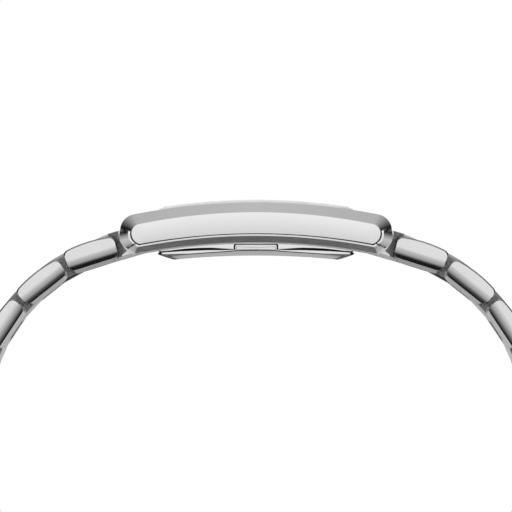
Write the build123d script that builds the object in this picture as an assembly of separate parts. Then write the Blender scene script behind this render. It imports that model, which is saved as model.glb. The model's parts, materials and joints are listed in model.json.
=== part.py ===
from build123d import *
import os
from math import asin, atan2, cos, degrees, radians, sin, sqrt

# Rectangular wristwatch with a curved steel case on a three-row steel bracelet with a folding clasp.
# Millimetres. X runs along the length, 12 o'clock at -X; +Y is the crown side; +Z is up.
# The origin is the centre of the flat underside of the clasp.

# Case middle, seen from the side; heights count from the line of the case pins
case_length = 32.0
case_width = 27.0
flank_crest = 4.8
crest_radius = 75.0
shoulder_run = 1.6
nose_height = 0.95
toe_run = 0.85
toe_height = -0.6
heel_run = 1.6
belly_height = -0.05
belly_radius = 78.0
bevel_depth = 1.1
end_bulge_share = 0.11

# Satin facet on the outside of each flank
facet_top_inset = 1.15
facet_radius = 68.0
facet_end_inset = 1.32
facet_shoulder_run = 1.25
facet_nose_height = 1.4
facet_sill_inset = 1.22
facet_sill_radius = 76.0
facet_toe_run = 0.6
facet_toe_height = 0.16
facet_heel_run = 0.95

# Middle of the case between the flanks
lug_side_gap = 0.15
pin_setback = 1.45
block_drop = 0.12
block_top_run = 4.1
block_face_run = 2.7
block_face_height = 1.6
link_swing_gap = 0.1

# Case skirt over the back, with the opener notch
skirt_length = 22.4
skirt_width = 22.2
skirt_height = -0.66
skirt_radius = 220.0
notch_length = 5.3
notch_height = 0.42
notch_depth = 0.9
notch_round = 0.18

# Crystal and its gasket
crystal_length = 22.1
crystal_width = 18.0
crystal_corner = 1.2
crystal_proud = 0.34
crystal_thickness = 1.0
crystal_radius = 72.0
crystal_edge_bevel = 0.15
gasket_wall = 0.4
gasket_height = 0.85
seat_gap = 0.02

# Room for the movement
cavity_length = 20.8
cavity_width = 17.0
cavity_corner = 1.4

# Case back
back_length = 23.2
back_width = 22.6
back_top = -0.8
back_top_radius = 200.0
back_bottom = -1.45
back_bottom_radius = 98.0
back_end_slant = 1.9
back_side_run = 0.55
back_plug_wall = 0.7
back_floor = 0.55
back_gasket_wall = 0.35
back_gasket_height = 0.5
back_gap = 0.03

# Dial, markers and hands
dial_top = 2.45
dial_thickness = 0.4
dial_gap = 0.1
dial_hole_gap = 0.1
marker_length = 1.5
marker_width = 0.42
marker_height = 0.14
marker_inset = 0.75
hand_thickness = 0.15
hour_hand_lift = 0.2
minute_hand_lift = 0.55
hour_hand_length = 4.6
minute_hand_length = 6.6
hand_width = 0.75
hand_tip_width = 0.3
hand_tail = 1.4
hand_boss_radius = 0.95
least_share = 0.1
hands_hour = 10
hands_minute = 10

# Movement
movement_gap = 0.05
ring_wall = 0.55
ring_gap = 0.06
ring_foot = 0.3
plate_thickness = 0.7
bridge_top_drop = 0.7
bridge_thickness = 0.4
bridge_length = 9.0
bridge_width = 6.4
bridge_shift = 2.2
pillar_radius = 0.55
pivot_radius = 0.15
pivot_gap = 0.03
cap_gap = 0.04
motion_recess_depth = 0.45
tooth_gap = 0.12
battery_diameter = 6.8
battery_height = 2.1
battery_rim = 0.35
battery_x = 5.9
battery_y = -3.6
coil_length = 7.6
coil_radius = 0.78
coil_x = -4.6
coil_y = -5.9
coil_z = 0.85
coil_core = 0.28
winding_share = 0.86
stator_thickness = 0.22
stator_gap = 0.14
board_thickness = 0.25
board_length = 11.0
board_width = 5.6
board_drop = 0.2
chip_length = 2.6
chip_height = 0.25

# Wheels
gear_module = 0.1
train_module = 0.075
cannon_teeth = 10
minute_teeth = 30
minute_pinion_teeth = 8
hour_teeth = 32
centre_teeth = 64
intermediate_pinion_teeth = 8
intermediate_teeth = 45
rotor_teeth = 6
wheel_thickness = 0.12
cannon_radius = 0.36
hour_tube_wall = 0.14
running_gap = 0.05
minute_wheel_angle = -90.0
intermediate_angle = 180.0
rotor_angle = 215.0
rotor_radius = 0.62
rotor_height = 0.3
tooth_root_share = 0.24
tooth_tip_share = 0.12
tooth_height_share = 0.9
tooth_depth_share = 1.1

# Crown, stem and setting lever
stem_height = 1.4
stem_radius = 0.38
stem_inner_end = 4.4
stem_groove_y = 5.6
stem_groove_length = 0.32
stem_groove_radius = 0.2
lever_thickness = 0.2
lever_width = 1.7
lever_height = 1.1
lever_play = 0.06
tube_outer = 0.75
tube_bore_gap = 0.05
tube_proud = 0.35
crown_gap = 0.2
crown_radius = 1.6
crown_length = 2.0
crown_skirt_depth = 0.55
crown_skirt_gap = 0.1
crown_ridges = 28
crown_ridge_depth = 0.12
crown_bevel = 0.25
crown_pull = 0.9

# Bracelet
half_pitch = 3.37
bracelet_width = 19.0
centre_width = 9.0
row_gap = 0.15
link_reach = 1.515
inner_depth = 1.5
first_crown = 1.9
last_crown = 1.3
crown_taper_links = 6
crown_arch_radius = 16.0
top_corner = 0.75
bottom_corner = 1.1
flank_top_bevel = 0.25
flank_end_bevel = 0.09
flank_bottom_bevel = 0.5
flank_bevel_depth = 0.2
flank_turn_radius = 1.7
flank_turn_height = 0.25
flank_strip_height = 0.45
flank_strip_run = 0.12
centre_bevel = 0.25
centre_bevel_depth = 0.2
pin_radius = 0.5
pin_gap = 0.05
pin_fit = 0.01
pin_cover = 1.2
case_pin_radius = 0.6
case_pin_reach = 0.9
end_link_gap = 0.15
end_link_nose = 1.9
end_link_shoulder = 0.9
link_clear_radius = 2.05
link_tilts = (16.5, 17.5, 29, 38.5, 47.5, 56.5, 66, 75, 83, 89, 94, 100, 112, 127, 143, 159)

# Folding clasp; offsets count outwards from the arc through its two end pins
clasp_radius = 75.0
clasp_flat = 0.2
leaf_thickness = 0.75
leaf_gap = 0.1
cover_thickness = 1.1
leaf_width = 11.0
middle_width = 10.0
base_knuckle_radius = 1.3
cover_knuckle_radius = 1.25
base_hinge_inset = 5.0
cover_hinge_inset = 3.7
leaf_knuckle_radius = 0.62
cover_hinge_radius = 0.72
leaf_pin_radius = 0.3
knuckle_width = 4.0
cover_right_end = 2.4
base_left_end = 2.0
free_bar_radius = 0.45

overrun = 2.0

half_length = case_length / 2
half_width = case_width / 2
lug_gap = bracelet_width + 2 * lug_side_gap
pin_x = half_length - pin_setback
outer_link_width = (bracelet_width - centre_width) / 2 - row_gap
parts = {}


def arc_height(crest, radius, x):
    """Height at x of an arch whose crest is over the middle."""
    return crest - radius + sqrt(radius * radius - x * x)


def arch(crest, radius, reach, mirrored=False):
    """Arc across the middle from -reach to reach, or back."""
    end = arc_height(crest, radius, reach)
    first, last = ((reach, end), (-reach, end)) if mirrored else ((-reach, end), (reach, end))
    return ThreePointArc(first, (0, crest), last)


def side_face(edges, y):
    """Face in the side view, from edges drawn as (x, z), at depth y."""
    plane = Plane(origin=(0, y, 0), x_dir=(1, 0, 0), z_dir=(0, -1, 0))
    return plane * make_face(Curve() + edges)


def side_prism(edges, y_low, y_high):
    """Solid between two depths with the given side view."""
    return extrude(side_face(edges, y_low), y_high - y_low, dir=(0, 1, 0))


def box_between(low, high):
    """Box from its lowest to its highest corner."""
    size = [b - a for a, b in zip(low, high)]
    middle = [(a + b) / 2 for a, b in zip(low, high)]
    return Pos(*middle) * Box(*size)


def rod_y(x, z, radius, y_low, y_high):
    """Round bar along Y."""
    return Pos(x, (y_low + y_high) / 2, z) * Rot(X=90) * Cylinder(radius, y_high - y_low)


def rod_z(x, y, radius, z_low, z_high):
    """Round bar along Z."""
    return Pos(x, y, (z_low + z_high) / 2) * Cylinder(radius, z_high - z_low)


def rounded_block(length, width, corner, z_low, z_high):
    """Upright block with rounded corners about the middle."""
    outline = RectangleRounded(length, width, corner)
    return Pos(0, 0, z_low) * extrude(outline, z_high - z_low)


def one_solid(shape):
    """The largest solid of a result, free of slivers."""
    return max(shape.solids(), key=lambda s: s.volume)


# Case middle
def flank_outline():
    """Outer outline of a flank, as eight edges from the right shoulder anticlockwise."""
    shoulder_x = half_length - shoulder_run
    shoulder_z = arc_height(flank_crest, crest_radius, shoulder_x)
    toe_x = half_length - toe_run
    heel_x = half_length - heel_run
    heel_z = arc_height(belly_height, belly_radius, heel_x)
    slope = asin(shoulder_x / crest_radius)
    top = arch(flank_crest, crest_radius, shoulder_x, mirrored=True)
    nose = (half_length, nose_height)
    left_nose = (-half_length, nose_height)
    left_top = TangentArc((-shoulder_x, shoulder_z), left_nose, tangent=(-cos(slope), -sin(slope)))
    left_low = ThreePointArc(left_nose, bulge(left_nose, (-toe_x, toe_height)), (-toe_x, toe_height))
    left_foot = Line((-toe_x, toe_height), (-heel_x, heel_z))
    belly = arch(belly_height, belly_radius, heel_x)
    foot = Line((heel_x, heel_z), (toe_x, toe_height))
    low = ThreePointArc((toe_x, toe_height), bulge((toe_x, toe_height), nose), nose)
    shoulder = TangentArc((shoulder_x, shoulder_z), nose, tangent=(cos(slope), -sin(slope)))
    return [top, left_top, left_low, left_foot, belly, foot, low, shoulder]


def bulge(start, end):
    """Point a little outside the middle of a chord, for a gently rounded end."""
    mid_x, mid_z = (start[0] + end[0]) / 2, (start[1] + end[1]) / 2
    run, rise = end[0] - start[0], end[1] - start[1]
    return (mid_x + rise * end_bulge_share, mid_z - run * end_bulge_share)


def facet_outline():
    """Outline of the satin facet, with one edge for each edge of the flank."""
    crest = flank_crest - facet_top_inset
    sill = belly_height + facet_sill_inset
    nose_x = half_length - facet_end_inset
    shoulder_x = nose_x - facet_shoulder_run
    shoulder_z = arc_height(crest, facet_radius, shoulder_x)
    toe_x = nose_x - facet_toe_run
    heel_x = nose_x - facet_heel_run
    heel_z = arc_height(sill, facet_sill_radius, heel_x)
    slope = asin(shoulder_x / facet_radius)
    nose = (nose_x, facet_nose_height)
    left_nose = (-nose_x, facet_nose_height)
    top = arch(crest, facet_radius, shoulder_x, mirrored=True)
    left_top = TangentArc((-shoulder_x, shoulder_z), left_nose, tangent=(-cos(slope), -sin(slope)))
    left_toe = (-toe_x, facet_toe_height)
    left_low = ThreePointArc(left_nose, bulge(left_nose, left_toe), left_toe)
    left_foot = Line(left_toe, (-heel_x, heel_z))
    belly = arch(sill, facet_sill_radius, heel_x)
    toe = (toe_x, facet_toe_height)
    foot = Line((heel_x, heel_z), toe)
    low = ThreePointArc(toe, bulge(toe, nose), nose)
    shoulder = TangentArc((shoulder_x, shoulder_z), nose, tangent=(cos(slope), -sin(slope)))
    return [top, left_top, left_low, left_foot, belly, foot, low, shoulder]


def flank():
    """One flank of the case, on the -Y side: a prism with a bevel ring round its facet."""
    inner = -lug_gap / 2
    ring_start = -half_width + bevel_depth
    body = side_prism(flank_outline(), ring_start, inner)
    sections = [side_face(flank_outline(), ring_start), side_face(facet_outline(), -half_width)]
    ring = loft(sections, ruled=True)
    return body + ring


def block_outline():
    """Side view of the case between the flanks, with faces that slant down to the end links."""
    crest = flank_crest - block_drop
    top_x = half_length - block_top_run
    face_x = half_length - block_face_run
    top_z = arc_height(crest, crest_radius, top_x)
    foot_z = arc_height(belly_height, belly_radius, face_x)
    return [
        arch(crest, crest_radius, top_x, mirrored=True),
        Line((-top_x, top_z), (-face_x, block_face_height)),
        Line((-face_x, block_face_height), (-face_x, foot_z)),
        arch(belly_height, belly_radius, face_x),
        Line((face_x, foot_z), (face_x, block_face_height)),
        Line((face_x, block_face_height), (top_x, top_z)),
    ]


def skirt():
    """Wall under the case that meets the back, with its underside on a flatter arc."""
    reach = skirt_length / 2
    low_end = arc_height(skirt_height, skirt_radius, reach)
    top = belly_height + facet_sill_inset
    edges = [
        Line((reach, low_end), (reach, top)),
        Line((reach, top), (-reach, top)),
        Line((-reach, top), (-reach, low_end)),
        arch(skirt_height, skirt_radius, reach),
    ]
    return side_prism(edges, -skirt_width / 2, skirt_width / 2)


def notch():
    """Opener notch with rounded ends in the skirt's -Y side."""
    top = skirt_height + notch_height
    outline = RectangleRounded(notch_length, notch_height * 2, notch_round)
    start = -skirt_width / 2 - overrun
    plane = Plane(origin=(0, start, top - notch_height), x_dir=(1, 0, 0), z_dir=(0, -1, 0))
    return extrude(plane * outline, notch_depth + overrun, dir=(0, 1, 0))


def crystal_band(length, width, corner, top, bottom, top_radius, bottom_radius):
    """Rounded block whose top and underside are arches along X."""
    reach = length / 2 + overrun
    top_end = arc_height(top, top_radius, reach)
    bottom_end = arc_height(bottom, bottom_radius, reach)
    edges = [
        arch(top, top_radius, reach, mirrored=True),
        Line((-reach, top_end), (-reach, bottom_end)),
        arch(bottom, bottom_radius, reach),
        Line((reach, bottom_end), (reach, top_end)),
    ]
    band = side_prism(edges, -width, width)
    depth = abs(bottom_end) + overrun
    return band & rounded_block(length, width, corner, bottom - depth, top + overrun)


crystal_top = flank_crest + crystal_proud
crystal_under = crystal_top - crystal_thickness
crystal_under_radius = crystal_radius - crystal_thickness


def case_middle():
    """Flanks and middle of the case, cut for the crystal, the movement and the crown."""
    near = flank()
    far = mirror(near, about=Plane.XZ)
    block = side_prism(block_outline(), -lug_gap / 2, lug_gap / 2)
    case = near + far + block + skirt()
    for side in (-1, 1):
        swing = end_link_nose + link_swing_gap
        case -= rod_y(side * pin_x, 0, swing, -lug_gap / 2, lug_gap / 2)
        reach = bracelet_width / 2 + case_pin_reach
        case -= rod_y(side * pin_x, 0, case_pin_radius + pin_fit, -reach - pin_fit, reach + pin_fit)
    pocket_length = crystal_length + 2 * gasket_wall
    pocket_width = crystal_width + 2 * gasket_wall
    corner = crystal_corner + gasket_wall
    above = crystal_top + overrun
    floor_radius = crystal_under_radius - seat_gap
    floor = crystal_under - seat_gap
    case -= crystal_band(pocket_length, pocket_width, corner, above, floor, crystal_radius, floor_radius)
    depth = abs(back_bottom) + overrun
    case -= rounded_block(cavity_length, cavity_width, cavity_corner, -depth, flank_crest)
    case -= notch()
    case -= rod_y(0, stem_height, tube_outer + pin_fit, cavity_width / 2 - overrun, half_width + overrun)
    return one_solid(case)


def crystal():
    """Arched mineral crystal with a small bevel along its upper edge."""
    glass = crystal_band(
        crystal_length, crystal_width, crystal_corner,
        crystal_top, crystal_under, crystal_radius, crystal_under_radius,
    )
    top_face = glass.faces().sort_by(Axis.Z)[-1]
    return chamfer(top_face.edges(), crystal_edge_bevel)


def crystal_gasket():
    """Thin frame between the crystal and its pocket."""
    outer_length = crystal_length + 2 * gasket_wall - 2 * seat_gap
    outer_width = crystal_width + 2 * gasket_wall - 2 * seat_gap
    top = crystal_under + gasket_height
    top_radius = crystal_under_radius + gasket_height
    frame = crystal_band(
        outer_length, outer_width, crystal_corner + gasket_wall,
        top, crystal_under, top_radius, crystal_under_radius,
    )
    hole_length = crystal_length + 2 * seat_gap
    hole_width = crystal_width + 2 * seat_gap
    return frame - rounded_block(hole_length, hole_width, crystal_corner, 0, crystal_top + overrun)


# Case back
def case_back():
    """Curved back with slanted ends and sides, and a shallow plug that snaps into the case."""
    reach = back_length / 2
    foot = reach - back_end_slant
    top_end = arc_height(back_top, back_top_radius, reach)
    foot_z = arc_height(back_bottom, back_bottom_radius, foot)
    edges = [
        arch(back_top, back_top_radius, reach, mirrored=True),
        Line((-reach, top_end), (-foot, foot_z)),
        arch(back_bottom, back_bottom_radius, foot),
        Line((foot, foot_z), (reach, top_end)),
    ]
    plate = side_prism(edges, -back_width / 2, back_width / 2)
    side = back_width / 2
    low = back_bottom - overrun
    lean = back_side_run * (back_top - low) / (back_top - back_bottom)
    section = Plane.YZ * Polygon(
        (-side, back_top + overrun), (-side, back_top), (-side + lean, low),
        (side - lean, low), (side, back_top), (side, back_top + overrun), align=None,
    )
    plate &= extrude(section, reach + overrun, both=True)
    plug_length = cavity_length - 2 * back_gasket_wall - 2 * back_gap
    plug_width = cavity_width - 2 * back_gasket_wall - 2 * back_gap
    corner = cavity_corner - back_gasket_wall
    plug_top = skirt_height + back_gasket_height
    plug = rounded_block(plug_length, plug_width, corner, back_top - overrun, plug_top)
    under_edges = band_edges(back_top - back_gap, back_top_radius, plug_top + overrun, plug_length)
    under = side_prism(under_edges, -side, side)
    well_length = plug_length - 2 * back_plug_wall
    well_width = plug_width - 2 * back_plug_wall
    well_floor = -back_floor - back_plug_wall / 2
    well = rounded_block(well_length, well_width, corner / 2, well_floor, plug_top + overrun)
    return one_solid(plate + (plug & under) - well)


def band_edges(low, low_radius, high, length):
    """Side view of a slab over an arch, up to a flat top."""
    reach = length / 2
    end = arc_height(low, low_radius, reach)
    return [
        Line((reach, end), (reach, high)),
        Line((reach, high), (-reach, high)),
        Line((-reach, high), (-reach, end)),
        arch(low, low_radius, reach),
    ]


def back_gasket():
    """Rubber frame round the plug of the back."""
    outer = rounded_block(
        cavity_length - 2 * back_gap, cavity_width - 2 * back_gap, cavity_corner,
        back_top, skirt_height + back_gasket_height,
    )
    hole_length = cavity_length - 2 * back_gasket_wall
    hole_width = cavity_width - 2 * back_gasket_wall
    hole_corner = cavity_corner - back_gasket_wall
    return outer - rounded_block(hole_length, hole_width, hole_corner, back_top - overrun, flank_crest)


# Dial and hands
def dial():
    """Flat dial with a hole for the hand arbors."""
    plate = rounded_block(
        cavity_length - 2 * dial_gap, cavity_width - 2 * dial_gap, cavity_corner - dial_gap,
        dial_top - dial_thickness, dial_top,
    )
    hole = cannon_radius + running_gap + hour_tube_wall + dial_hole_gap
    return plate - rod_z(0, 0, hole, 0, dial_top + overrun)


def clock_direction(angle):
    """Direction of a clock angle from 12, as seen from above the dial."""
    return -cos(radians(angle)), sin(radians(angle))


def hour_markers():
    """Twelve plain batons round the edge of the dial."""
    reach_x = cavity_length / 2 - dial_gap - marker_inset - marker_length / 2
    reach_y = cavity_width / 2 - dial_gap - marker_inset - marker_length / 2
    batons = []
    for hour in range(12):
        angle = hour * 360 / 12
        dx, dy = clock_direction(angle)
        far = min(reach_x / max(abs(dx), least_share), reach_y / max(abs(dy), least_share))
        turn = degrees(atan2(dy, dx))
        slab = Box(marker_length, marker_width, marker_height)
        slab = chamfer(slab.faces().sort_by(Axis.Z)[-1].edges(), marker_height / 3)
        batons.append(Pos(dx * far, dy * far, dial_top + marker_height / 2) * Rot(Z=turn) * slab)
    return batons


def hand(length, lift, bore, angle):
    """Plain tapered hand with a round boss, pointing at a clock angle."""
    blade = Polygon(
        (-hand_tail, -hand_tip_width / 2), (0, -hand_width / 2), (length, -hand_tip_width / 2),
        (length, hand_tip_width / 2), (0, hand_width / 2), (-hand_tail, hand_tip_width / 2), align=None,
    )
    dx, dy = clock_direction(angle)
    shape = extrude(blade, hand_thickness) + rod_z(0, 0, hand_boss_radius, 0, hand_thickness)
    shape -= rod_z(0, 0, bore, -overrun, overrun)
    return Pos(0, 0, dial_top + lift) * Rot(Z=degrees(atan2(dy, dx))) * shape


# Wheels
def toothed_disc(teeth, module, thickness, tooth_angle):
    """Wheel with straight-sided teeth, one of them centred on tooth_angle."""
    pitch_radius = teeth * module / 2
    tip = pitch_radius + module * tooth_height_share
    root = pitch_radius - module * tooth_depth_share
    step = 360 / teeth
    flanks = (
        (root, -tooth_root_share), (tip, -tooth_tip_share), (tip, tooth_tip_share), (root, tooth_root_share),
    )
    points = []
    for i in range(teeth):
        middle = tooth_angle + i * step
        for radius, share in flanks:
            a = radians(middle + share * step)
            points.append((radius * cos(a), radius * sin(a)))
    return extrude(Polygon(*points, align=None), thickness)


plate_top = dial_top - dial_thickness - movement_gap
plate_bottom = plate_top - plate_thickness
bridge_top = plate_bottom - bridge_top_drop
bridge_bottom = bridge_top - bridge_thickness
motion_distance = (cannon_teeth + minute_teeth) * gear_module / 2
centre_distance = (centre_teeth + intermediate_pinion_teeth) * train_module / 2
rotor_distance = (intermediate_teeth + rotor_teeth) * train_module / 2
minute_at = Vector(motion_distance, 0).rotate(Axis.Z, minute_wheel_angle)
intermediate_at = Vector(centre_distance, 0).rotate(Axis.Z, intermediate_angle)
rotor_at = intermediate_at + Vector(rotor_distance, 0).rotate(Axis.Z, rotor_angle)
motion_floor = plate_top - motion_recess_depth
minute_level = motion_floor + running_gap
hour_level = minute_level + wheel_thickness + running_gap
centre_level = plate_bottom - 2 * running_gap - wheel_thickness
intermediate_level = bridge_top + running_gap
rotor_level = intermediate_level + wheel_thickness + running_gap
hour_tube_radius = cannon_radius + running_gap + hour_tube_wall
hour_tube_top = dial_top + hour_hand_lift + hand_thickness
cannon_top = dial_top + minute_hand_lift + hand_thickness


def centre_wheel():
    """Centre wheel on its arbor, which carries the cannon pinion and the minute hand."""
    wheel = toothed_disc(centre_teeth, train_module, wheel_thickness, intermediate_angle)
    pinion = toothed_disc(cannon_teeth, gear_module, wheel_thickness, minute_wheel_angle)
    arbor = rod_z(0, 0, cannon_radius, centre_level, cannon_top)
    pivot = rod_z(0, 0, pivot_radius, bridge_bottom + cap_gap, centre_level + running_gap)
    return Pos(0, 0, centre_level) * wheel + Pos(0, 0, minute_level) * pinion + arbor + pivot


def minute_wheel():
    """Minute wheel and its pinion on a post of the main plate."""
    x, y = minute_at.X, minute_at.Y
    half_step = 180 / minute_teeth
    wheel = toothed_disc(minute_teeth, gear_module, wheel_thickness, minute_wheel_angle + 180 + half_step)
    pinion_height = plate_top - running_gap - minute_level
    pinion = toothed_disc(minute_pinion_teeth, gear_module, pinion_height, minute_wheel_angle + 180)
    both = Pos(x, y, minute_level) * (wheel + pinion)
    return both - rod_z(x, y, pivot_radius + pivot_gap, 0, dial_top)


def hour_wheel():
    """Hour wheel with the tube that carries the hour hand."""
    half_step = 180 / hour_teeth
    wheel = toothed_disc(hour_teeth, gear_module, wheel_thickness, minute_wheel_angle + half_step)
    tube = rod_z(0, 0, hour_tube_radius, hour_level, hour_tube_top)
    return Pos(0, 0, hour_level) * wheel + tube - rod_z(0, 0, cannon_radius + running_gap, 0, cannon_top)


def intermediate_wheel():
    """Intermediate wheel and pinion on one arbor."""
    x, y = intermediate_at.X, intermediate_at.Y
    half_step = 180 / intermediate_pinion_teeth
    wheel = toothed_disc(intermediate_teeth, train_module, wheel_thickness, rotor_angle)
    height = centre_level + wheel_thickness - intermediate_level
    pinion = toothed_disc(
        intermediate_pinion_teeth, train_module, height, intermediate_angle + 180 + half_step
    )
    pivot = rod_z(x, y, pivot_radius, bridge_bottom + cap_gap, plate_bottom + plate_thickness / 3)
    return Pos(x, y, intermediate_level) * (wheel + pinion) + pivot


def rotor():
    """Magnet rotor with its small pinion."""
    x, y = rotor_at.X, rotor_at.Y
    half_step = 180 / rotor_teeth
    pinion_height = rotor_level - intermediate_level
    pinion = toothed_disc(rotor_teeth, train_module, pinion_height, rotor_angle + 180 + half_step)
    magnet = rod_z(x, y, rotor_radius, rotor_level, rotor_level + rotor_height)
    pivot = rod_z(x, y, pivot_radius, bridge_bottom + cap_gap, plate_bottom + plate_thickness / 3)
    return Pos(x, y, intermediate_level) * pinion + magnet + pivot


def movement_plate():
    """Main plate, recessed for the motion work and cut for the battery, coil and stem."""
    length = cavity_length - 2 * ring_gap - 2 * ring_wall - 2 * ring_gap
    width = cavity_width - 2 * ring_gap - 2 * ring_wall - 2 * ring_gap
    plate = rounded_block(length, width, cavity_corner - ring_wall, plate_bottom, plate_top)
    hour_reach = hour_teeth * gear_module / 2 + gear_module + tooth_gap
    minute_reach = minute_teeth * gear_module / 2 + gear_module + tooth_gap
    x, y = minute_at.X, minute_at.Y
    plate -= rod_z(0, 0, hour_reach, motion_floor, plate_top + overrun)
    plate -= rod_z(x, y, minute_reach, motion_floor, plate_top + overrun)
    plate += rod_z(x, y, pivot_radius, plate_bottom, plate_top)
    plate -= rod_z(0, 0, cannon_radius + pivot_gap, 0, plate_top)
    for at in (intermediate_at, rotor_at):
        top = plate_bottom + plate_thickness / 3 + cap_gap
        plate -= rod_z(at.X, at.Y, pivot_radius + pivot_gap, plate_bottom - overrun, top)
    magnet_top = rotor_level + rotor_height + running_gap
    plate -= rod_z(rotor_at.X, rotor_at.Y, rotor_radius + tooth_gap, 0, magnet_top)
    plate -= rod_z(battery_x, battery_y, battery_diameter / 2 + tooth_gap, 0, plate_top + overrun)
    coil_reach = coil_length / 2 + tooth_gap
    coil_side = coil_radius + tooth_gap
    plate -= box_between(
        (coil_x - coil_reach, coil_y - coil_side, 0),
        (coil_x + coil_reach, coil_y + coil_side, plate_top + overrun),
    )
    groove = stem_radius + tooth_gap
    far = cavity_width
    groove_top = stem_height + groove
    plate -= box_between((-groove, stem_inner_end - tooth_gap, 0), (groove, far, groove_top))
    lever_half = lever_width / 2 + tooth_gap
    lever_start = stem_groove_y - lever_thickness / 2 - tooth_gap
    lever_end = stem_groove_y + lever_thickness / 2 + crown_pull + tooth_gap
    lever_top = stem_height + lever_height / 2 + tooth_gap / 2
    plate -= box_between((-lever_half, lever_start, 0), (lever_half, lever_end, lever_top))
    return one_solid(plate)


def train_bridge():
    """Bridge under the wheels, on three pillars that meet the main plate."""
    middle_x = -bridge_shift
    half_x, half_y = bridge_length / 2, bridge_width / 2
    shape = box_between(
        (middle_x - half_x, -half_y, bridge_bottom), (middle_x + half_x, half_y, bridge_top)
    )
    inset = pillar_radius
    corners = (
        (middle_x - half_x + inset, half_y - inset), (middle_x + half_x - inset, half_y - inset),
        (middle_x + half_x - inset, -half_y + inset),
    )
    for x, y in corners:
        shape += rod_z(x, y, pillar_radius, bridge_bottom, plate_bottom)
    for at in (Vector(0, 0), intermediate_at, rotor_at):
        shape -= rod_z(at.X, at.Y, pivot_radius + pivot_gap, bridge_bottom, bridge_top + overrun)
    far = battery_diameter / 2 + tooth_gap
    shape -= rod_z(battery_x, battery_y, far, bridge_bottom - overrun, plate_bottom)
    return one_solid(shape)


def battery():
    """Button cell with its raised negative cap."""
    top = plate_top - movement_gap
    bottom = top - battery_height
    can = rod_z(battery_x, battery_y, battery_diameter / 2, bottom + battery_rim, top)
    cap = rod_z(battery_x, battery_y, battery_diameter / 2 - battery_rim, bottom, top)
    return can + cap


def coil():
    """Copper winding on its core, and the stator plate round the rotor."""
    winding = Pos(coil_x, coil_y, coil_z) * Rot(Y=90) * Cylinder(coil_radius, coil_length * winding_share)
    core_half = coil_length / 2
    core = box_between(
        (coil_x - core_half, coil_y - coil_core, coil_z - coil_core),
        (coil_x + core_half, coil_y + coil_core, coil_z + coil_core),
    )
    return one_solid(winding + core)


def stator():
    """Thin iron plate round the rotor."""
    reach = rotor_radius + stator_gap
    wall = reach + stator_gap * 3
    low_y = coil_y + coil_radius + tooth_gap
    x, y = rotor_at.X, rotor_at.Y
    z = rotor_level + running_gap
    sheet = box_between((x - wall, low_y, z), (x + wall / 2, y, z + stator_thickness))
    sheet += rod_z(x, y, wall, z, z + stator_thickness)
    return one_solid(sheet - rod_z(x, y, reach, 0, plate_top))


def circuit_board():
    """Thin board under the bridge with its chip."""
    left = -cavity_length / 2 + ring_gap + ring_wall + ring_gap
    high = bridge_bottom - board_drop / 2
    low_y = -cavity_width / 2 + ring_gap + ring_wall + ring_gap
    board = box_between(
        (left, -low_y - board_width, high - board_thickness), (left + board_length, -low_y, high)
    )
    chip_x = left + board_length / 2
    chip_y = -low_y - board_width / 2
    half = chip_length / 2
    chip_low = high - board_thickness - chip_height
    chip = box_between((chip_x - half, chip_y - half, chip_low), (chip_x + half, chip_y + half, high))
    return board + chip


def movement_ring():
    """Plastic frame that centres the movement in the case."""
    outer_length = cavity_length - 2 * ring_gap
    outer_width = cavity_width - 2 * ring_gap
    inner_length = outer_length - 2 * ring_wall
    inner_width = outer_width - 2 * ring_wall
    low = skirt_height + back_gasket_height + ring_foot
    ring = rounded_block(outer_length, outer_width, cavity_corner - ring_gap, low, plate_top)
    ring -= rounded_block(
        inner_length, inner_width, cavity_corner - ring_wall, low - overrun, plate_top + overrun
    )
    return ring - rod_y(0, stem_height, stem_radius + tooth_gap, 0, cavity_width)


# Crown and stem
crown_inner = half_width + crown_gap
tube_end = half_width + tube_proud


def crown_tube():
    """Tube pressed in the case, which the stem runs through."""
    tube = rod_y(0, stem_height, tube_outer, cavity_width / 2, tube_end)
    return tube - rod_y(0, stem_height, stem_radius + tube_bore_gap, 0, tube_end + overrun)


def stem():
    """Steel stem with a groove for the setting lever."""
    end = crown_inner + crown_length / 2
    bar = rod_y(0, stem_height, stem_radius, stem_inner_end, end)
    half = stem_groove_length / 2
    collar = rod_y(0, stem_height, stem_radius + overrun, stem_groove_y - half, stem_groove_y + half)
    return bar - (collar - rod_y(0, stem_height, stem_groove_radius, 0, end))


def crown():
    """Ridged crown with a recess that covers the end of the tube."""
    disc = toothed_crown(crown_radius, crown_length)
    recess_end = crown_inner + crown_skirt_depth
    recess = rod_y(0, stem_height, tube_outer + crown_skirt_gap, crown_inner - overrun, recess_end)
    bore = rod_y(0, stem_height, stem_radius, crown_inner - overrun, crown_inner + crown_length / 2)
    return one_solid(disc - recess - bore)


def toothed_crown(radius, length):
    """Crown body: a cylinder with ridges all round and bevelled rims."""
    body = rod_y(0, stem_height, radius, crown_inner, crown_inner + length)
    body = chamfer(body.edges().filter_by(GeomType.CIRCLE), crown_bevel)
    step = 360 / crown_ridges
    for i in range(crown_ridges):
        a = radians(i * step)
        x = radius * cos(a)
        z = stem_height + radius * sin(a)
        body -= rod_y(x, z, crown_ridge_depth, crown_inner - overrun, crown_inner + length - crown_bevel)
    return body


def setting_lever():
    """Fork plate that sits in the groove of the stem and travels with it."""
    half = lever_width / 2
    y_low = stem_groove_y - lever_thickness / 2
    y_high = stem_groove_y + lever_thickness / 2
    low = stem_height - lever_height / 2
    plate = box_between((-half, y_low, low), (half, y_high, low + lever_height))
    slot = stem_groove_radius + lever_play
    plate -= rod_y(0, stem_height, slot, 0, cavity_width)
    return plate - box_between((-slot, 0, 0), (slot, cavity_width, stem_height))


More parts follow.
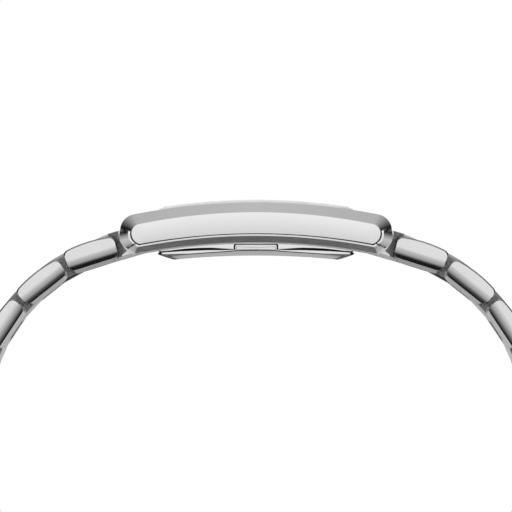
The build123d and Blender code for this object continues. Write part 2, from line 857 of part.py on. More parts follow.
# Bracelet
def chain_points():
    """Pins of the 12 o'clock side, from the case to the clasp, relative to the case pins' line."""
    x, z = -pin_x, 0.0
    points = [(x, z)]
    for tilt in link_tilts:
        x -= half_pitch * cos(radians(tilt))
        z -= half_pitch * sin(radians(tilt))
        points.append((x, z))
    return points


chain = chain_points()
clasp_reach = -chain[-1][0]
clasp_centre_z = chain[-1][1] + sqrt(clasp_radius**2 - clasp_reach**2)
clasp_lowest = clasp_centre_z - clasp_radius - last_crown
head_height = -(clasp_lowest + clasp_flat)


def crown_height(index):
    """Height of a link's outer face over its pins, tapering away from the case."""
    step = min(index, crown_taper_links) / crown_taper_links
    fall = (first_crown - last_crown) * (1 - (1 - step) ** 2)
    return first_crown - fall


def link_outline(top, low, reach_cut, top_round, bottom_round):
    """Side view of a link: arched top, flat underside, four rounded corners."""
    reach = half_pitch / 2 + link_reach - reach_cut
    side = arc_height(top, crown_arch_radius, reach)
    edges = [
        arch(top, crown_arch_radius, reach, mirrored=True),
        Line((-reach, side), (-reach, low)),
        Line((-reach, low), (reach, low)),
        Line((reach, low), (reach, side)),
    ]
    face = make_face(Curve() + edges)
    corners = face.vertices().sort_by(Axis.Y)
    face = fillet(corners[:2], bottom_round)
    corners = face.vertices().sort_by(Axis.Y)
    return fillet(corners[-2:], top_round)


def at_depth(face, y):
    """A face drawn as (x, z), placed at depth y."""
    return Plane(origin=(0, y, 0), x_dir=(1, 0, 0), z_dir=(0, -1, 0)) * face


def outer_link(index):
    """Outer link on the -Y side: bevelled flank, rounded under towards the wrist."""
    top = crown_height(index)
    full = link_outline(top, -inner_depth, 0, top_corner, bottom_corner)
    facet = link_outline(
        top - flank_top_bevel, -inner_depth + flank_bottom_bevel, flank_end_bevel,
        top_corner - flank_top_bevel, bottom_corner - flank_bottom_bevel,
    )
    outside = -bracelet_width / 2
    inside = outside + outer_link_width
    ring_start = outside + flank_bevel_depth
    body = loft([at_depth(facet, outside), at_depth(full, ring_start), at_depth(full, inside)], ruled=True)
    turn = flank_turn_radius
    start = flank_turn_height
    strip_top = -inner_depth + flank_strip_height
    angle = asin((start - strip_top) / turn)
    middle = (outside + turn * (1 - cos(angle / 2)), start - turn * sin(angle / 2))
    crease = (outside + turn * (1 - cos(angle)), strip_top)
    foot = (crease[0] + flank_strip_run, -inner_depth)
    side_cut = Curve() + [
        Line((outside - overrun, start), (outside, start)),
        ThreePointArc((outside, start), middle, crease),
        Line(crease, foot),
        Line(foot, (foot[0], foot[1] - overrun)),
        Line((foot[0], foot[1] - overrun), (outside - overrun, foot[1] - overrun)),
        Line((outside - overrun, foot[1] - overrun), (outside - overrun, start)),
    ]
    cutter = extrude(Plane.YZ * make_face(side_cut), half_pitch * 2, both=True)
    return one_solid(body - cutter)


def centre_body(index, width):
    """Centre link with bevelled long edges."""
    top = crown_height(index)
    full = link_outline(top, -inner_depth, 0, top_corner, bottom_corner)
    flat = link_outline(
        top - centre_bevel, -inner_depth + centre_bevel, 0,
        top_corner - centre_bevel, bottom_corner - centre_bevel,
    )
    half = width / 2
    sections = [
        at_depth(flat, -half), at_depth(full, -half + centre_bevel_depth),
        at_depth(full, half - centre_bevel_depth), at_depth(flat, half),
    ]
    return loft(sections, ruled=True)


def place_link(shape, index, side):
    """Moves a link from its own frame to its place in the chain; side is -1 for 12 o'clock."""
    x0, z0 = chain[index]
    x1, z1 = chain[index + 1]
    place = Pos(side * abs(x0 + x1) / 2, 0, (z0 + z1) / 2 + head_height)
    return place * Rot(Y=side * link_tilts[index]) * shape


def pin_ends(side):
    """Places along a link of the pin nearer the case and the one nearer the clasp."""
    toward_case = -side * half_pitch / 2
    return toward_case, -toward_case


def outer_pair(index, side):
    """Two outer links and the pins that they carry."""
    near = outer_link(index)
    near_pin, far_pin = pin_ends(side)
    reach = bracelet_width / 2 - pin_cover
    last_right = side > 0 and index == len(link_tilts) - 1
    pins = [near_pin] if last_right else [near_pin, far_pin]
    for u in (near_pin, far_pin):
        near -= rod_y(u, 0, pin_radius + pin_fit, -reach - pin_fit, 0)
    pieces = [near, mirror(near, about=Plane.XZ)]
    pieces += [rod_y(u, 0, pin_radius, -reach, reach) for u in pins]
    return [place_link(piece, index, side) for piece in pieces]


def centre_link(index, side):
    """Centre link with running bores for its two pins."""
    body = centre_body(index, centre_width)
    for u in pin_ends(side):
        body -= rod_y(u, 0, pin_radius + pin_gap, -centre_width, centre_width)
    return [place_link(one_solid(body), index, side)]


def end_link(side):
    """First link: wide between the flanks of the case, with a centre tongue to the next pair."""
    near_pin, far_pin = pin_ends(side)
    body = centre_body(0, centre_width)
    half = bracelet_width / 2 - end_link_gap
    top = crown_height(0)
    direction = 1 if near_pin > 0 else -1
    left, right = sorted((-direction * end_link_shoulder, near_pin))
    wide = box_between((left, -half, -inner_depth), (right, half, top))
    nose = rod_y(near_pin, 0, end_link_nose, -half, half)
    limit = box_between((-case_length, -half, -inner_depth), (case_length, half, top))
    wide = wide + (nose & limit)
    reach = centre_width / 2 + row_gap / 2
    for y_low, y_high in ((-half - overrun, -reach), (reach, half + overrun)):
        wide -= rod_y(far_pin, 0, link_clear_radius, y_low, y_high)
    body = body & box_between((-case_length, -half, -case_length), (case_length, half, case_length))
    shape = body + wide
    shape -= rod_y(near_pin, 0, case_pin_radius + pin_gap, -bracelet_width, bracelet_width)
    shape -= rod_y(far_pin, 0, pin_radius + pin_gap, -bracelet_width, bracelet_width)
    return [place_link(one_solid(shape), 0, side)]


def case_pins():
    """Spring bars that hold the end links between the flanks."""
    reach = bracelet_width / 2 + case_pin_reach
    return [rod_y(side * pin_x, 0, case_pin_radius, -reach, reach) for side in (-1, 1)]


# Clasp
def clasp_at(s, offset):
    """Point on the clasp's arc at length s from the middle, moved outwards by offset."""
    angle = s / clasp_radius
    radius = clasp_radius + offset
    return radius * sin(angle), clasp_centre_z + head_height - radius * cos(angle)


def clasp_leaf(s_low, s_high, inside, outside, y_half):
    """Curved leaf between two lengths and two offsets."""
    middle = (s_low + s_high) / 2
    edges = [
        ThreePointArc(clasp_at(s_low, outside), clasp_at(middle, outside), clasp_at(s_high, outside)),
        Line(clasp_at(s_high, outside), clasp_at(s_high, inside)),
        ThreePointArc(clasp_at(s_high, inside), clasp_at(middle, inside), clasp_at(s_low, inside)),
        Line(clasp_at(s_low, inside), clasp_at(s_low, outside)),
    ]
    return side_prism(edges, -y_half, y_half)


end_s = clasp_radius * asin(clasp_reach / clasp_radius)
base_in = -inner_depth
base_out = base_in + leaf_thickness
middle_in = base_out + leaf_gap
middle_out = middle_in + leaf_thickness
cover_in = middle_out + leaf_gap
cover_out = cover_in + cover_thickness
base_hinge_s = end_s - base_hinge_inset
cover_hinge_s = -end_s + cover_hinge_inset
base_hinge_offset = (base_in + middle_out) / 2
cover_hinge_offset = (middle_in + cover_out) / 2
head_centre_half = centre_width / 2


def clasp_base():
    """Inner leaf: pinned to the last link of the 12 o'clock side, it carries the middle leaf's pin."""
    x, z = clasp_at(-end_s, 0)
    hx, hz = clasp_at(base_hinge_s, base_hinge_offset)
    leaf = clasp_leaf(-end_s + base_left_end, base_hinge_s, base_in, base_out, leaf_width / 2)
    neck = clasp_leaf(-end_s, -end_s + base_left_end + overrun, base_in, base_out, head_centre_half)
    knuckle = rod_y(x, z, base_knuckle_radius, -head_centre_half, head_centre_half)
    far = rod_y(hx, hz, leaf_knuckle_radius, -leaf_width / 2, leaf_width / 2)
    gap_half = knuckle_width / 2 + row_gap
    room = rod_y(hx, hz, leaf_knuckle_radius + leaf_gap, -gap_half, gap_half)
    shape = leaf + neck + knuckle + far - room
    shape -= rod_y(x, z, pin_radius + pin_gap, -leaf_width, leaf_width)
    shape -= rod_y(hx, hz, leaf_pin_radius + pin_fit, -leaf_width, leaf_width)
    return [one_solid(shape), rod_y(hx, hz, leaf_pin_radius, -leaf_width / 2, leaf_width / 2)]


def clasp_middle():
    """Middle leaf, hinged to the inner leaf at one end and to the cover at the other."""
    hx, hz = clasp_at(base_hinge_s, base_hinge_offset)
    cx, cz = clasp_at(cover_hinge_s, cover_hinge_offset)
    room = leaf_knuckle_radius + leaf_gap
    leaf = clasp_leaf(cover_hinge_s, base_hinge_s - room, middle_in, middle_out, middle_width / 2)
    half = knuckle_width / 2
    tongue = clasp_leaf(base_hinge_s - room - overrun, base_hinge_s, middle_in, middle_out, half)
    near = rod_y(hx, hz, leaf_knuckle_radius, -half, half)
    cover_room = rod_y(cx, cz, cover_hinge_radius + leaf_gap, -middle_width, middle_width)
    left_end = cover_hinge_s + cover_hinge_radius + overrun
    left = clasp_leaf(cover_hinge_s, left_end, middle_in, middle_out, half)
    far = rod_y(cx, cz, cover_hinge_radius, -half, half)
    shape = (leaf - cover_room) + tongue + near + left + far
    shape -= rod_y(hx, hz, leaf_pin_radius + pin_gap, -middle_width, middle_width)
    shape -= rod_y(cx, cz, leaf_pin_radius + pin_gap, -middle_width, middle_width)
    return [one_solid(shape)]


def clasp_cover():
    """Outer cover with a flat under its middle; its far knuckle lies between the last outer links."""
    cx, cz = clasp_at(cover_hinge_s, cover_hinge_offset)
    x, z = clasp_at(end_s, 0)
    half = bracelet_width / 2
    right = end_s - cover_right_end
    plate = clasp_leaf(cover_hinge_s, right, cover_in, cover_out, half)
    tongue = clasp_leaf(right - overrun, end_s, cover_in, cover_out, head_centre_half)
    knuckle = rod_y(x, z, cover_knuckle_radius, -head_centre_half, head_centre_half)
    far = rod_y(cx, cz, cover_hinge_radius, -half, half)
    gap_half = knuckle_width / 2 + row_gap
    room = rod_y(cx, cz, cover_hinge_radius + leaf_gap, -gap_half, gap_half)
    shape = plate + tongue + knuckle + far - room
    shape -= rod_y(cx, cz, leaf_pin_radius + pin_fit, -half, half)
    shape -= rod_y(x, z, free_bar_radius + pin_fit, -half, half)
    shape -= box_between((-case_length, -half, -overrun), (case_length, half, 0))
    reach = half - pin_cover
    pin = rod_y(cx, cz, leaf_pin_radius, -reach, reach)
    bar_half = head_centre_half
    return [one_solid(shape), pin, rod_y(x, z, free_bar_radius, -bar_half, bar_half)]


# Writing
def head(shape):
    """Lifts a piece of the head to its height over the clasp."""
    pieces = shape if isinstance(shape, list) else [shape]
    return [Pos(0, 0, head_height) * piece for piece in pieces]


minute_angle = hands_minute * 360 / 60
hour_angle = hands_hour * 360 / 12 + minute_angle / 12

parts["case_middle"] = head(case_middle())
parts["crystal"] = head(crystal())
parts["crystal_gasket"] = head(crystal_gasket())
parts["case_back"] = head(case_back())
parts["back_gasket"] = head(back_gasket())
parts["case_pins"] = head(case_pins())
parts["dial"] = head(dial())
parts["hour_markers"] = head(hour_markers())
parts["hour_hand"] = head(hand(hour_hand_length, hour_hand_lift, hour_tube_radius, hour_angle))
parts["minute_hand"] = head(hand(minute_hand_length, minute_hand_lift, cannon_radius, minute_angle))
parts["centre_wheel"] = head(centre_wheel())
parts["minute_wheel"] = head(minute_wheel())
parts["hour_wheel"] = head(hour_wheel())
parts["intermediate_wheel"] = head(intermediate_wheel())
parts["rotor"] = head(rotor())
parts["movement_plate"] = head(movement_plate())
parts["train_bridge"] = head(train_bridge())
parts["battery"] = head(battery())
parts["coil"] = head([coil(), stator()])
parts["circuit_board"] = head(circuit_board())
parts["movement_ring"] = head(movement_ring())
parts["crown_tube"] = head(crown_tube())
parts["stem"] = head(stem())
parts["crown"] = head(crown())
parts["setting_lever"] = head(setting_lever())
parts["clasp_base"] = clasp_base()
parts["clasp_middle"] = clasp_middle()
parts["clasp_cover"] = clasp_cover()

for side, hour in ((-1, "12"), (1, "6")):
    for index in range(len(link_tilts)):
        number = index // 2 + 1
        if index == 0:
            parts[f"end_link_{hour}"] = end_link(side)
        elif index % 2:
            parts[f"outer_links_{hour}_{number}"] = outer_pair(index, side)
        else:
            parts[f"centre_link_{hour}_{number}"] = centre_link(index, side)

os.makedirs("parts", exist_ok=True)
for name, pieces in parts.items():
    solids = [solid for piece in pieces for solid in piece.solids()]
    export_step(Compound(children=solids), f"parts/{name}.step")
print(len(parts), "nodes written")
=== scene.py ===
import json
from math import asin, atan2, cos, pi, radians, sin, sqrt

import bpy
import bmesh
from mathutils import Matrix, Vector


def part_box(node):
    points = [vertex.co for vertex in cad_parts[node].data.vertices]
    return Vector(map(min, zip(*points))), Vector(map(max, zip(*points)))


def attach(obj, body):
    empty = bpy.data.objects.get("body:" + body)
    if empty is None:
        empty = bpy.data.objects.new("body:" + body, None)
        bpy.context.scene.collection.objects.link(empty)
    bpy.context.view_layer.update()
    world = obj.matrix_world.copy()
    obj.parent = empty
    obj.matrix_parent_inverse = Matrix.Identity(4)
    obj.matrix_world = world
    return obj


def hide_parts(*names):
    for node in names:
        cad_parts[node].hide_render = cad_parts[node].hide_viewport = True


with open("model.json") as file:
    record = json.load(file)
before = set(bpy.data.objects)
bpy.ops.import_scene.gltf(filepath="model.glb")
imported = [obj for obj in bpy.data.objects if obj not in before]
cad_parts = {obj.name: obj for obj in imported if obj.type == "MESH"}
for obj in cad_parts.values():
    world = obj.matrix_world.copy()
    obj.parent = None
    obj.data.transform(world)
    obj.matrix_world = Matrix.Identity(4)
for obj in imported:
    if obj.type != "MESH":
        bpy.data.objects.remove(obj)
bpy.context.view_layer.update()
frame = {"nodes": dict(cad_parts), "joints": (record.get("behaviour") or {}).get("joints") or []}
nodes = frame["nodes"]
mm = 0.001

# Case middle. One block of steel: two long curved flanks with a satin facet inside a polished ring,
# joined by a bar at 12 and 6. It is milled, the flanks are brushed lengthwise and the ring is lapped.

# Side view of the flank and of its facet, in millimetres; heights count from the line of the pins.
half_length, half_width = 16.0, 13.5
flank_crest, crest_radius = 4.8, 75.0
belly_height, belly_radius = -0.05, 78.0
flank_shoulder_x, flank_nose, flank_toe, flank_bow = 14.4, (half_length, 1.42), (15.15, -0.6), 0.205
facet_crest, facet_crest_radius = flank_crest - 1.15, 68.0
facet_belly, facet_belly_radius = belly_height + 1.22, 76.0
facet_shoulder_x, facet_heel_x, facet_heart_x = 13.8, 13.73, 12.9
facet_nose, facet_toe, facet_bow = (14.64, 1.21), (14.0, 0.05), 0.145
bevel_depth, facet_crown = 1.1, 0.05
# Ring round the facet, in shares of its width: a dark line of painted shade, a bright strip, a bevel and a
# rolled lip.
line_shares, line_narrow_x, line_wide_x, line_slope = (0.085, 0.125), 5, 14, 1.2
strip_share, strip_depth, strip_edge = 0.16, 0.01, 0.02
lip_share, lip_depth, lip_edge = 0.86, 0.92, 0.03
line_top, mitre_half = 1.3, 0.05
brushed_band, brushed_band_x = belly_height + 0.88, 14.2
# Inner faces of the flanks and bars between them; then steps of the curves and tolerances.
lug_half, wall_step, root_step = 9.65, 0.05, 0.5
pin_x, pin_boss_radius = 14.55, 2.0
arc_steps, end_steps, foot_steps = 96, 20, 8
facet_rings, ring_bands, first_band = 8, 12, 4
nose_blend_before, nose_blend_steps = 3, 4
weld_distance, sliver_length = 0.002 * mm, 0.001 * mm
sharp_angle = radians(11)
cut_overrun, overlap = 2.0, 0.02
pin_low, pin_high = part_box("case_pins")
pin_line = (pin_low.z + pin_high.z) / 2 / mm


def brushed_grain():
    """Node group of fine parallel brush lines along X, with the lightness they give."""
    group = bpy.data.node_groups.new("brushed_grain", "ShaderNodeTree")
    for label, value in (("Lines Along", 260.0), ("Lines Across", 14000.0)):
        socket = group.interface.new_socket(label, in_out="INPUT", socket_type="NodeSocketFloat")
        socket.default_value = value
    for label in ("Height", "Shade"):
        group.interface.new_socket(label, in_out="OUTPUT", socket_type="NodeSocketFloat")
    add, link = group.nodes.new, group.links.new
    given, out = add("NodeGroupInput"), add("NodeGroupOutput")
    place, scale = add("ShaderNodeTexCoord"), add("ShaderNodeCombineXYZ")
    stretch = add("ShaderNodeVectorMath")
    stretch.operation = "MULTIPLY"
    link(given.outputs["Lines Along"], scale.inputs["X"])
    for axis in "YZ":
        link(given.outputs["Lines Across"], scale.inputs[axis])
    link(place.outputs["Object"], stretch.inputs[0])
    link(scale.outputs[0], stretch.inputs[1])
    lines = add("ShaderNodeTexNoise")
    lines.inputs["Scale"].default_value = 1.0
    lines.inputs["Detail"].default_value = 3.0
    lines.inputs["Roughness"].default_value = 0.7
    link(stretch.outputs[0], lines.inputs["Vector"])
    link(lines.outputs["Fac"], out.inputs["Height"])
    cloud = add("ShaderNodeTexNoise")
    cloud.inputs["Scale"].default_value = 90.0
    link(place.outputs["Object"], cloud.inputs["Vector"])
    blend = add("ShaderNodeMix")
    blend.inputs[0].default_value = 0.5
    link(lines.outputs["Fac"], blend.inputs[2])
    link(cloud.outputs["Fac"], blend.inputs[3])
    link(blend.outputs[0], out.inputs["Shade"])
    return group


def wear_marks():
    """Node group of faint hairlines and smudges on polished metal."""
    group = bpy.data.node_groups.new("wear_marks", "ShaderNodeTree")
    socket = group.interface.new_socket("Marks Per Metre", in_out="INPUT", socket_type="NodeSocketFloat")
    socket.default_value = 900.0
    for label in ("Height", "Smudge"):
        group.interface.new_socket(label, in_out="OUTPUT", socket_type="NodeSocketFloat")
    add, link = group.nodes.new, group.links.new
    given, out = add("NodeGroupInput"), add("NodeGroupOutput")
    place = add("ShaderNodeTexCoord")
    hairs, smudge = add("ShaderNodeTexNoise"), add("ShaderNodeTexNoise")
    hairs.inputs["Detail"].default_value = 6.0
    hairs.inputs["Distortion"].default_value = 1.5
    smudge.inputs["Scale"].default_value = 160.0
    smudge.inputs["Detail"].default_value = 4.0
    link(given.outputs["Marks Per Metre"], hairs.inputs["Scale"])
    for texture in (hairs, smudge):
        link(place.outputs["Object"], texture.inputs["Vector"])
    link(hairs.outputs["Fac"], out.inputs["Height"])
    link(smudge.outputs["Fac"], out.inputs["Smudge"])
    return group


grain_group = brushed_grain()
wear_group = wear_marks()


def new_finish(name):
    """New material and its node tree."""
    finish = bpy.data.materials.new(name)
    finish.use_nodes = True
    return finish, finish.node_tree


def surface(finish, metallic, factor, height, colours, rough, relief):
    """Lets a finish's colour and gloss follow one texture value, and its surface another."""
    tree = finish.node_tree
    shader = tree.nodes["Principled BSDF"]
    shader.inputs["Metallic"].default_value = metallic
    tone, gloss, bump = (tree.nodes.new(f"ShaderNode{kind}") for kind in ("Mix", "MapRange", "Bump"))
    tone.data_type = "RGBA"
    tone.inputs[6].default_value, tone.inputs[7].default_value = ((*colour, 1) for colour in colours)
    gloss.inputs["To Min"].default_value, gloss.inputs["To Max"].default_value = rough
    bump.inputs["Strength"].default_value = relief[0]
    bump.inputs["Distance"].default_value = relief[1] * mm
    for value, given, out, target in (
        (factor, tone.inputs[0], tone.outputs[2], "Base Color"),
        (factor, gloss.inputs["Value"], gloss.outputs[0], "Roughness"),
        (height, bump.inputs["Height"], bump.outputs[0], "Normal"),
    ):
        tree.links.new(value, given)
        tree.links.new(out, shader.inputs[target])


def metal(name, group, output, greys, rough, relief, settings=()):
    """Grey metal whose lightness, gloss and surface vary with a group's marks."""
    finish, tree = new_finish(name)
    marks = tree.nodes.new("ShaderNodeGroup")
    marks.node_tree = group
    for label, value in settings:
        marks.inputs[label].default_value = value
    colours = [(grey, grey, grey) for grey in greys]
    surface(finish, 1.0, marks.outputs[output], marks.outputs["Height"], colours, rough, relief)
    return finish


# Each steel has its darkest and lightest grey, its least and most roughness, and its relief's strength
# and depth in millimetres.
satin_steel = metal("satin_steel", grain_group, "Shade", (0.86, 0.96), (0.26, 0.34), (0.25, 0.004))
polished_steel = metal("polished_steel", wear_group, "Smudge", (0.86, 0.94), (0.04, 0.1), (0.05, 0.002))
brushed_edge_steel = metal(
    "brushed_edge_steel", grain_group, "Shade", (0.72, 0.9), (0.2, 0.3), (0.35, 0.004)
)
# Near-black steel, painted shade: the facet's line and mitre, the notch's slope, the back's ends and ledge.
painted_shade_steel = metal(
    "painted_shade_steel", wear_group, "Smudge", (0.008, 0.03), (0.35, 0.5), (0.05, 0.002)
)
case_finishes = (satin_steel, polished_steel, brushed_edge_steel, painted_shade_steel)
SATIN, POLISHED, BRUSHED, PAINTED_SHADE = range(len(case_finishes))


def arc_height(crest, radius, x):
    """Height at x of an arch whose crest is over the middle."""
    return crest - radius + sqrt(radius * radius - x * x)


def arch_points(crest, radius, start, end, steps):
    """Points of an arch from one x to another, without the last."""
    xs = [start + (end - start) * i / steps for i in range(steps)]
    return [(x, arc_height(crest, radius, x)) for x in xs]


def bowed_points(start, end, sagitta, steps):
    """Points of a shallow arc to the right of its chord, without the last."""
    run, rise = end[0] - start[0], end[1] - start[1]
    points = []
    for i in range(steps):
        t = i / steps
        out = 4 * sagitta * t * (1 - t)
        points.append((start[0] + run * t + rise * out, start[1] + rise * t - run * out))
    return points


def tangent_points(start, direction, end, steps):
    """Points of the arc that leaves start in a direction and runs to end, without the last."""
    run = Vector((end[0] - start[0], end[1] - start[1]))
    heading = Vector(direction).normalized()
    normal = Vector((-heading.y, heading.x))
    radius = run.length_squared / (2 * normal.dot(run))
    centre = Vector(start) + normal * radius
    arm = Vector(start) - centre
    turn = 2 * heading.angle_signed(run) * -1
    points = []
    for i in range(steps):
        a = turn * i / steps
        x = arm.x * cos(a) - arm.y * sin(a)
        y = arm.x * sin(a) + arm.y * cos(a)
        points.append((centre.x + x, centre.y + y))
    return points


def side_outline(crest, radius, shoulder_x, nose, toe, bow, heel_x, sill, sill_radius):
    """Closed side outline of a flank or its facet, anticlockwise from the right shoulder."""
    shoulder_z = arc_height(crest, radius, shoulder_x)
    slope = asin(shoulder_x / radius)
    heel = (heel_x, arc_height(sill, sill_radius, heel_x))
    flip = lambda p: (-p[0], p[1])
    left = tangent_points((-shoulder_x, shoulder_z), (-cos(slope), -sin(slope)), flip(nose), end_steps)
    left += bowed_points(flip(nose), flip(toe), bow, end_steps)
    left += bowed_points(flip(toe), flip(heel), 0, foot_steps)
    heels = (-heel_x, heel[1]), heel
    top = arch_points(crest, radius, shoulder_x, -shoulder_x, arc_steps)
    belly = arch_points(sill, sill_radius, heels[0][0], heels[1][0], arc_steps)
    right = [flip(p) for p in left[:0:-1]]
    return top + left + belly + [heel] + right


flank_ring = side_outline(
    flank_crest, crest_radius, flank_shoulder_x, flank_nose, flank_toe, flank_bow,
    flank_shoulder_x, belly_height, belly_radius,
)
facet_ring = side_outline(
    facet_crest, facet_crest_radius, facet_shoulder_x, facet_nose, facet_toe, facet_bow,
    facet_heel_x, facet_belly, facet_belly_radius,
)


def lower_share(index):
    """How far a point of the ring belongs to its lower part: 0 on top, 1 below the two noses."""
    nose = arc_steps + end_steps
    far_nose = 2 * arc_steps + 3 * end_steps + 2 * foot_steps + 1
    past = min(index - nose, far_nose - index) + nose_blend_before
    return max(0.0, min(past / nose_blend_steps, 1.0))


def line_share(x):
    """Width of the dark line round the facet, as a share of the ring; it is wider at the corners."""
    narrow, wide = line_shares
    outwards = (abs(x) - line_narrow_x) / (line_wide_x - line_narrow_x)
    return narrow + (wide - narrow) * max(0.0, min(outwards, 1.0))


def ring_depth(index, share, line):
    """How deep the ring has turned away at a share of its width: a bevel on top, rolled under below."""
    toe, far_toe = arc_steps + 2 * end_steps, 2 * arc_steps + 2 * end_steps + 2 * foot_steps + 1
    lip = (lip_share, lip_depth if toe < index < far_toe else lip_share)
    edge = line_slope * line
    turn = ((0.0, 0.0), (line, edge), (line + strip_share, edge + strip_depth), lip, (1.0, 1.0))
    (t0, d0), (t1, d1) = next(pair for pair in zip(turn, turn[1:]) if share <= pair[1][0] + 1e-9)
    low = lower_share(index)
    return share * (1 - low) + (d0 + (d1 - d0) * (share - t0) / (t1 - t0)) * low


def level_through(levels, x):
    """Height at x on the smooth curve through given (distance from the middle, height) pairs."""
    x = min(max(abs(x), levels[0][0]), levels[-1][0])
    last = max(i for i in range(len(levels) - 1) if levels[i][0] <= x or i == 0)
    (x0, z0), (x1, z1) = levels[last:last + 2]
    slopes = []
    for i in (last, last + 1):
        a, b = levels[max(i - 1, 0)], levels[min(i + 1, len(levels) - 1)]
        slopes.append((b[1] - a[1]) / (b[0] - a[0]))
    h = x1 - x0
    t = (x - x0) / h
    start = (1 + 2 * t) * (1 - t) ** 2 * z0 + t * (1 - t) ** 2 * h * slopes[0]
    return start + t * t * (3 - 2 * t) * z1 + t * t * (t - 1) * h * slopes[1]


def blend_points(start, end, t):
    """Points part of the way from one outline to another."""
    return [(a[0] + (b[0] - a[0]) * t, a[1] + (b[1] - a[1]) * t) for a, b in zip(start, end)]


def as_object(name, shape, finishes):
    """New object of a shape, which is used up."""
    mesh = bpy.data.meshes.new(name)
    shape.to_mesh(mesh)
    shape.free()
    for finish in finishes:
        mesh.materials.append(finish)
    piece = bpy.data.objects.new(name, mesh)
    bpy.context.scene.collection.objects.link(piece)
    return piece


def solid(name, rings, finishes, band_finish, cap_finish=(None, None)):
    """Closed mesh through rings of points in millimetres; a cap closes each open end."""
    shape = bmesh.new()
    rows = [[shape.verts.new(Vector(p) * mm) for p in ring] for ring in rings]
    count = len(rings[0])
    for band, (one, two) in enumerate(zip(rows, rows[1:])):
        for i in range(count):
            j = (i + 1) % count
            face = shape.faces.new((one[i], one[j], two[j], two[i]))
            face.material_index = band_finish[band]
            face.smooth = True
    for row, finish in ((rows[0], cap_finish[0]), (rows[-1], cap_finish[1])):
        if finish is not None:
            face = shape.faces.new(row)
            face.material_index = finish
    bmesh.ops.remove_doubles(shape, verts=shape.verts, dist=weld_distance)
    bmesh.ops.dissolve_degenerate(shape, edges=shape.edges, dist=sliver_length)
    bmesh.ops.recalc_face_normals(shape, faces=shape.faces)
    return as_object(name, shape, finishes)


def soften(piece, angle=sharp_angle):
    """Smooth shading with the real corners kept sharp."""
    for face in piece.data.polygons:
        face.use_smooth = True
    piece.data.set_sharp_from_angle(angle=angle)


def flank_piece(name, side):
    """One flank as a closed mesh: crowned facet, bevel ring, outer wall and inner face."""
    heart = []
    for x, z in facet_ring:
        x = max(-facet_heart_x, min(facet_heart_x, x))
        top = arc_height(facet_crest, facet_crest_radius, x)
        heart.append((x, (top + arc_height(facet_belly, facet_belly_radius, x)) / 2))
    rings, bands = [], [SATIN] * facet_rings
    for share in [i / facet_rings for i in range(facet_rings + 1)]:
        y = half_width - facet_crown * share**2
        rings.append([(x, side * y, z + pin_line) for x, z in blend_points(heart, facet_ring, share)])
    # Each further ring lies at a share of the way to the flank; the first four count from the dark line.
    line_rings = [(1, 0), (1, strip_edge), (1, strip_share - strip_edge), (1, strip_share)]
    outer_shares = [i / ring_bands for i in range(first_band, ring_bands - 1)]
    outer_shares += [lip_share - lip_edge, lip_share, 1.0]
    for past_line, place in line_rings + [(0, share) for share in sorted(outer_shares)]:
        ring = []
        for i, ((ax, az), (bx, bz)) in enumerate(zip(facet_ring, flank_ring)):
            line = line_share(ax)
            share = past_line * line + place
            y = half_width - facet_crown - (bevel_depth - facet_crown) * ring_depth(i, share, line)
            ring.append((ax + (bx - ax) * share, side * y, az + (bz - az) * share + pin_line))
        rings.append(ring)
        bands.append(POLISHED)
    # The first band past the facet is a line of painted shade in near-black steel.
    bands[facet_rings] = PAINTED_SHADE
    for y in (half_width - bevel_depth - wall_step, lug_half + root_step, lug_half):
        rings.append([(x, side * y, z + pin_line) for x, z in flank_ring])
        bands.append(BRUSHED)
    piece = solid(name, rings, case_finishes, bands, (None, POLISHED))
    for face in piece.data.polygons:
        x, y, z = face.center / mm
        z -= pin_line
        # The line of painted shade keeps to the ring's lower part; above line_top it turns polished.
        if face.material_index == PAINTED_SHADE and z > line_top:
            face.material_index = POLISHED
        if abs(y) > half_width - bevel_depth:
            share = (abs(x) - facet_toe[0]) / (flank_toe[0] - facet_toe[0])
            mitre = facet_toe[1] + (flank_toe[1] - facet_toe[1]) * share
            under = abs(x) < brushed_band_x and z < arc_height(brushed_band, facet_belly_radius, x)
            # Along the mitre at the lower corners a thin line of painted shade is laid in near-black steel.
            if 0 < share < 1 and abs(z - mitre) < mitre_half:
                face.material_index = PAINTED_SHADE
            elif face.material_index == POLISHED and under:
                face.material_index = BRUSHED
    return piece


def prism(name, outline, y_low, y_high, finish=POLISHED):
    """Solid with one side outline between two depths."""
    rings = [[(x, y, z + pin_line) for x, z in outline] for y in (y_low, y_high)]
    return solid(name, rings, case_finishes, [finish], (finish, finish))


def round_bar(x, z, radius, y_low, y_high, steps=64, finish=POLISHED):
    """Round bar along Y."""
    turns = [2 * pi * i / steps for i in range(steps)]
    return prism("bar", [(x + radius * cos(a), z + radius * sin(a)) for a in turns], y_low, y_high, finish)


def rounded_rectangle(length, width, corner, steps=8):
    """Closed outline of a rectangle with round corners about the middle."""
    points = []
    for quarter, (sx, sy) in enumerate(((1, 1), (-1, 1), (-1, -1), (1, -1))):
        for i in range(steps + 1):
            a = pi / 2 * (quarter + i / steps)
            points.append((
                sx * (length / 2 - corner) + corner * cos(a), sy * (width / 2 - corner) + corner * sin(a),
            ))
    return points


def plan_outline(length, width, corner, steps=56):
    """Plan outline of a rectangle with round corners, with short steps along X."""
    outline = rounded_rectangle(length, width, corner)
    dense = []
    for (ax, ay), (bx, by) in zip(outline, outline[1:] + outline[:1]):
        pieces = steps if abs(bx - ax) > length / 2 else 1
        dense += [(ax + (bx - ax) * i / pieces, ay + (by - ay) * i / pieces) for i in range(pieces)]
    return dense


def upright_block(name, length, width, corner, low, high, finish=POLISHED):
    """Upright block with round corners; each end is a height or a function of x."""
    low, high = [h if callable(h) else (lambda x, h=h: h) for h in (low, high)]
    rings = []
    for end, seam in ((low, True), (low, False), (high, False), (high, True)):
        outline = plan_outline(length, width, corner)
        rings.append([(x, 0 if seam else y, end(x) + pin_line) for x, y in outline])
    return solid(name, rings, case_finishes, [finish] * (len(rings) - 1))


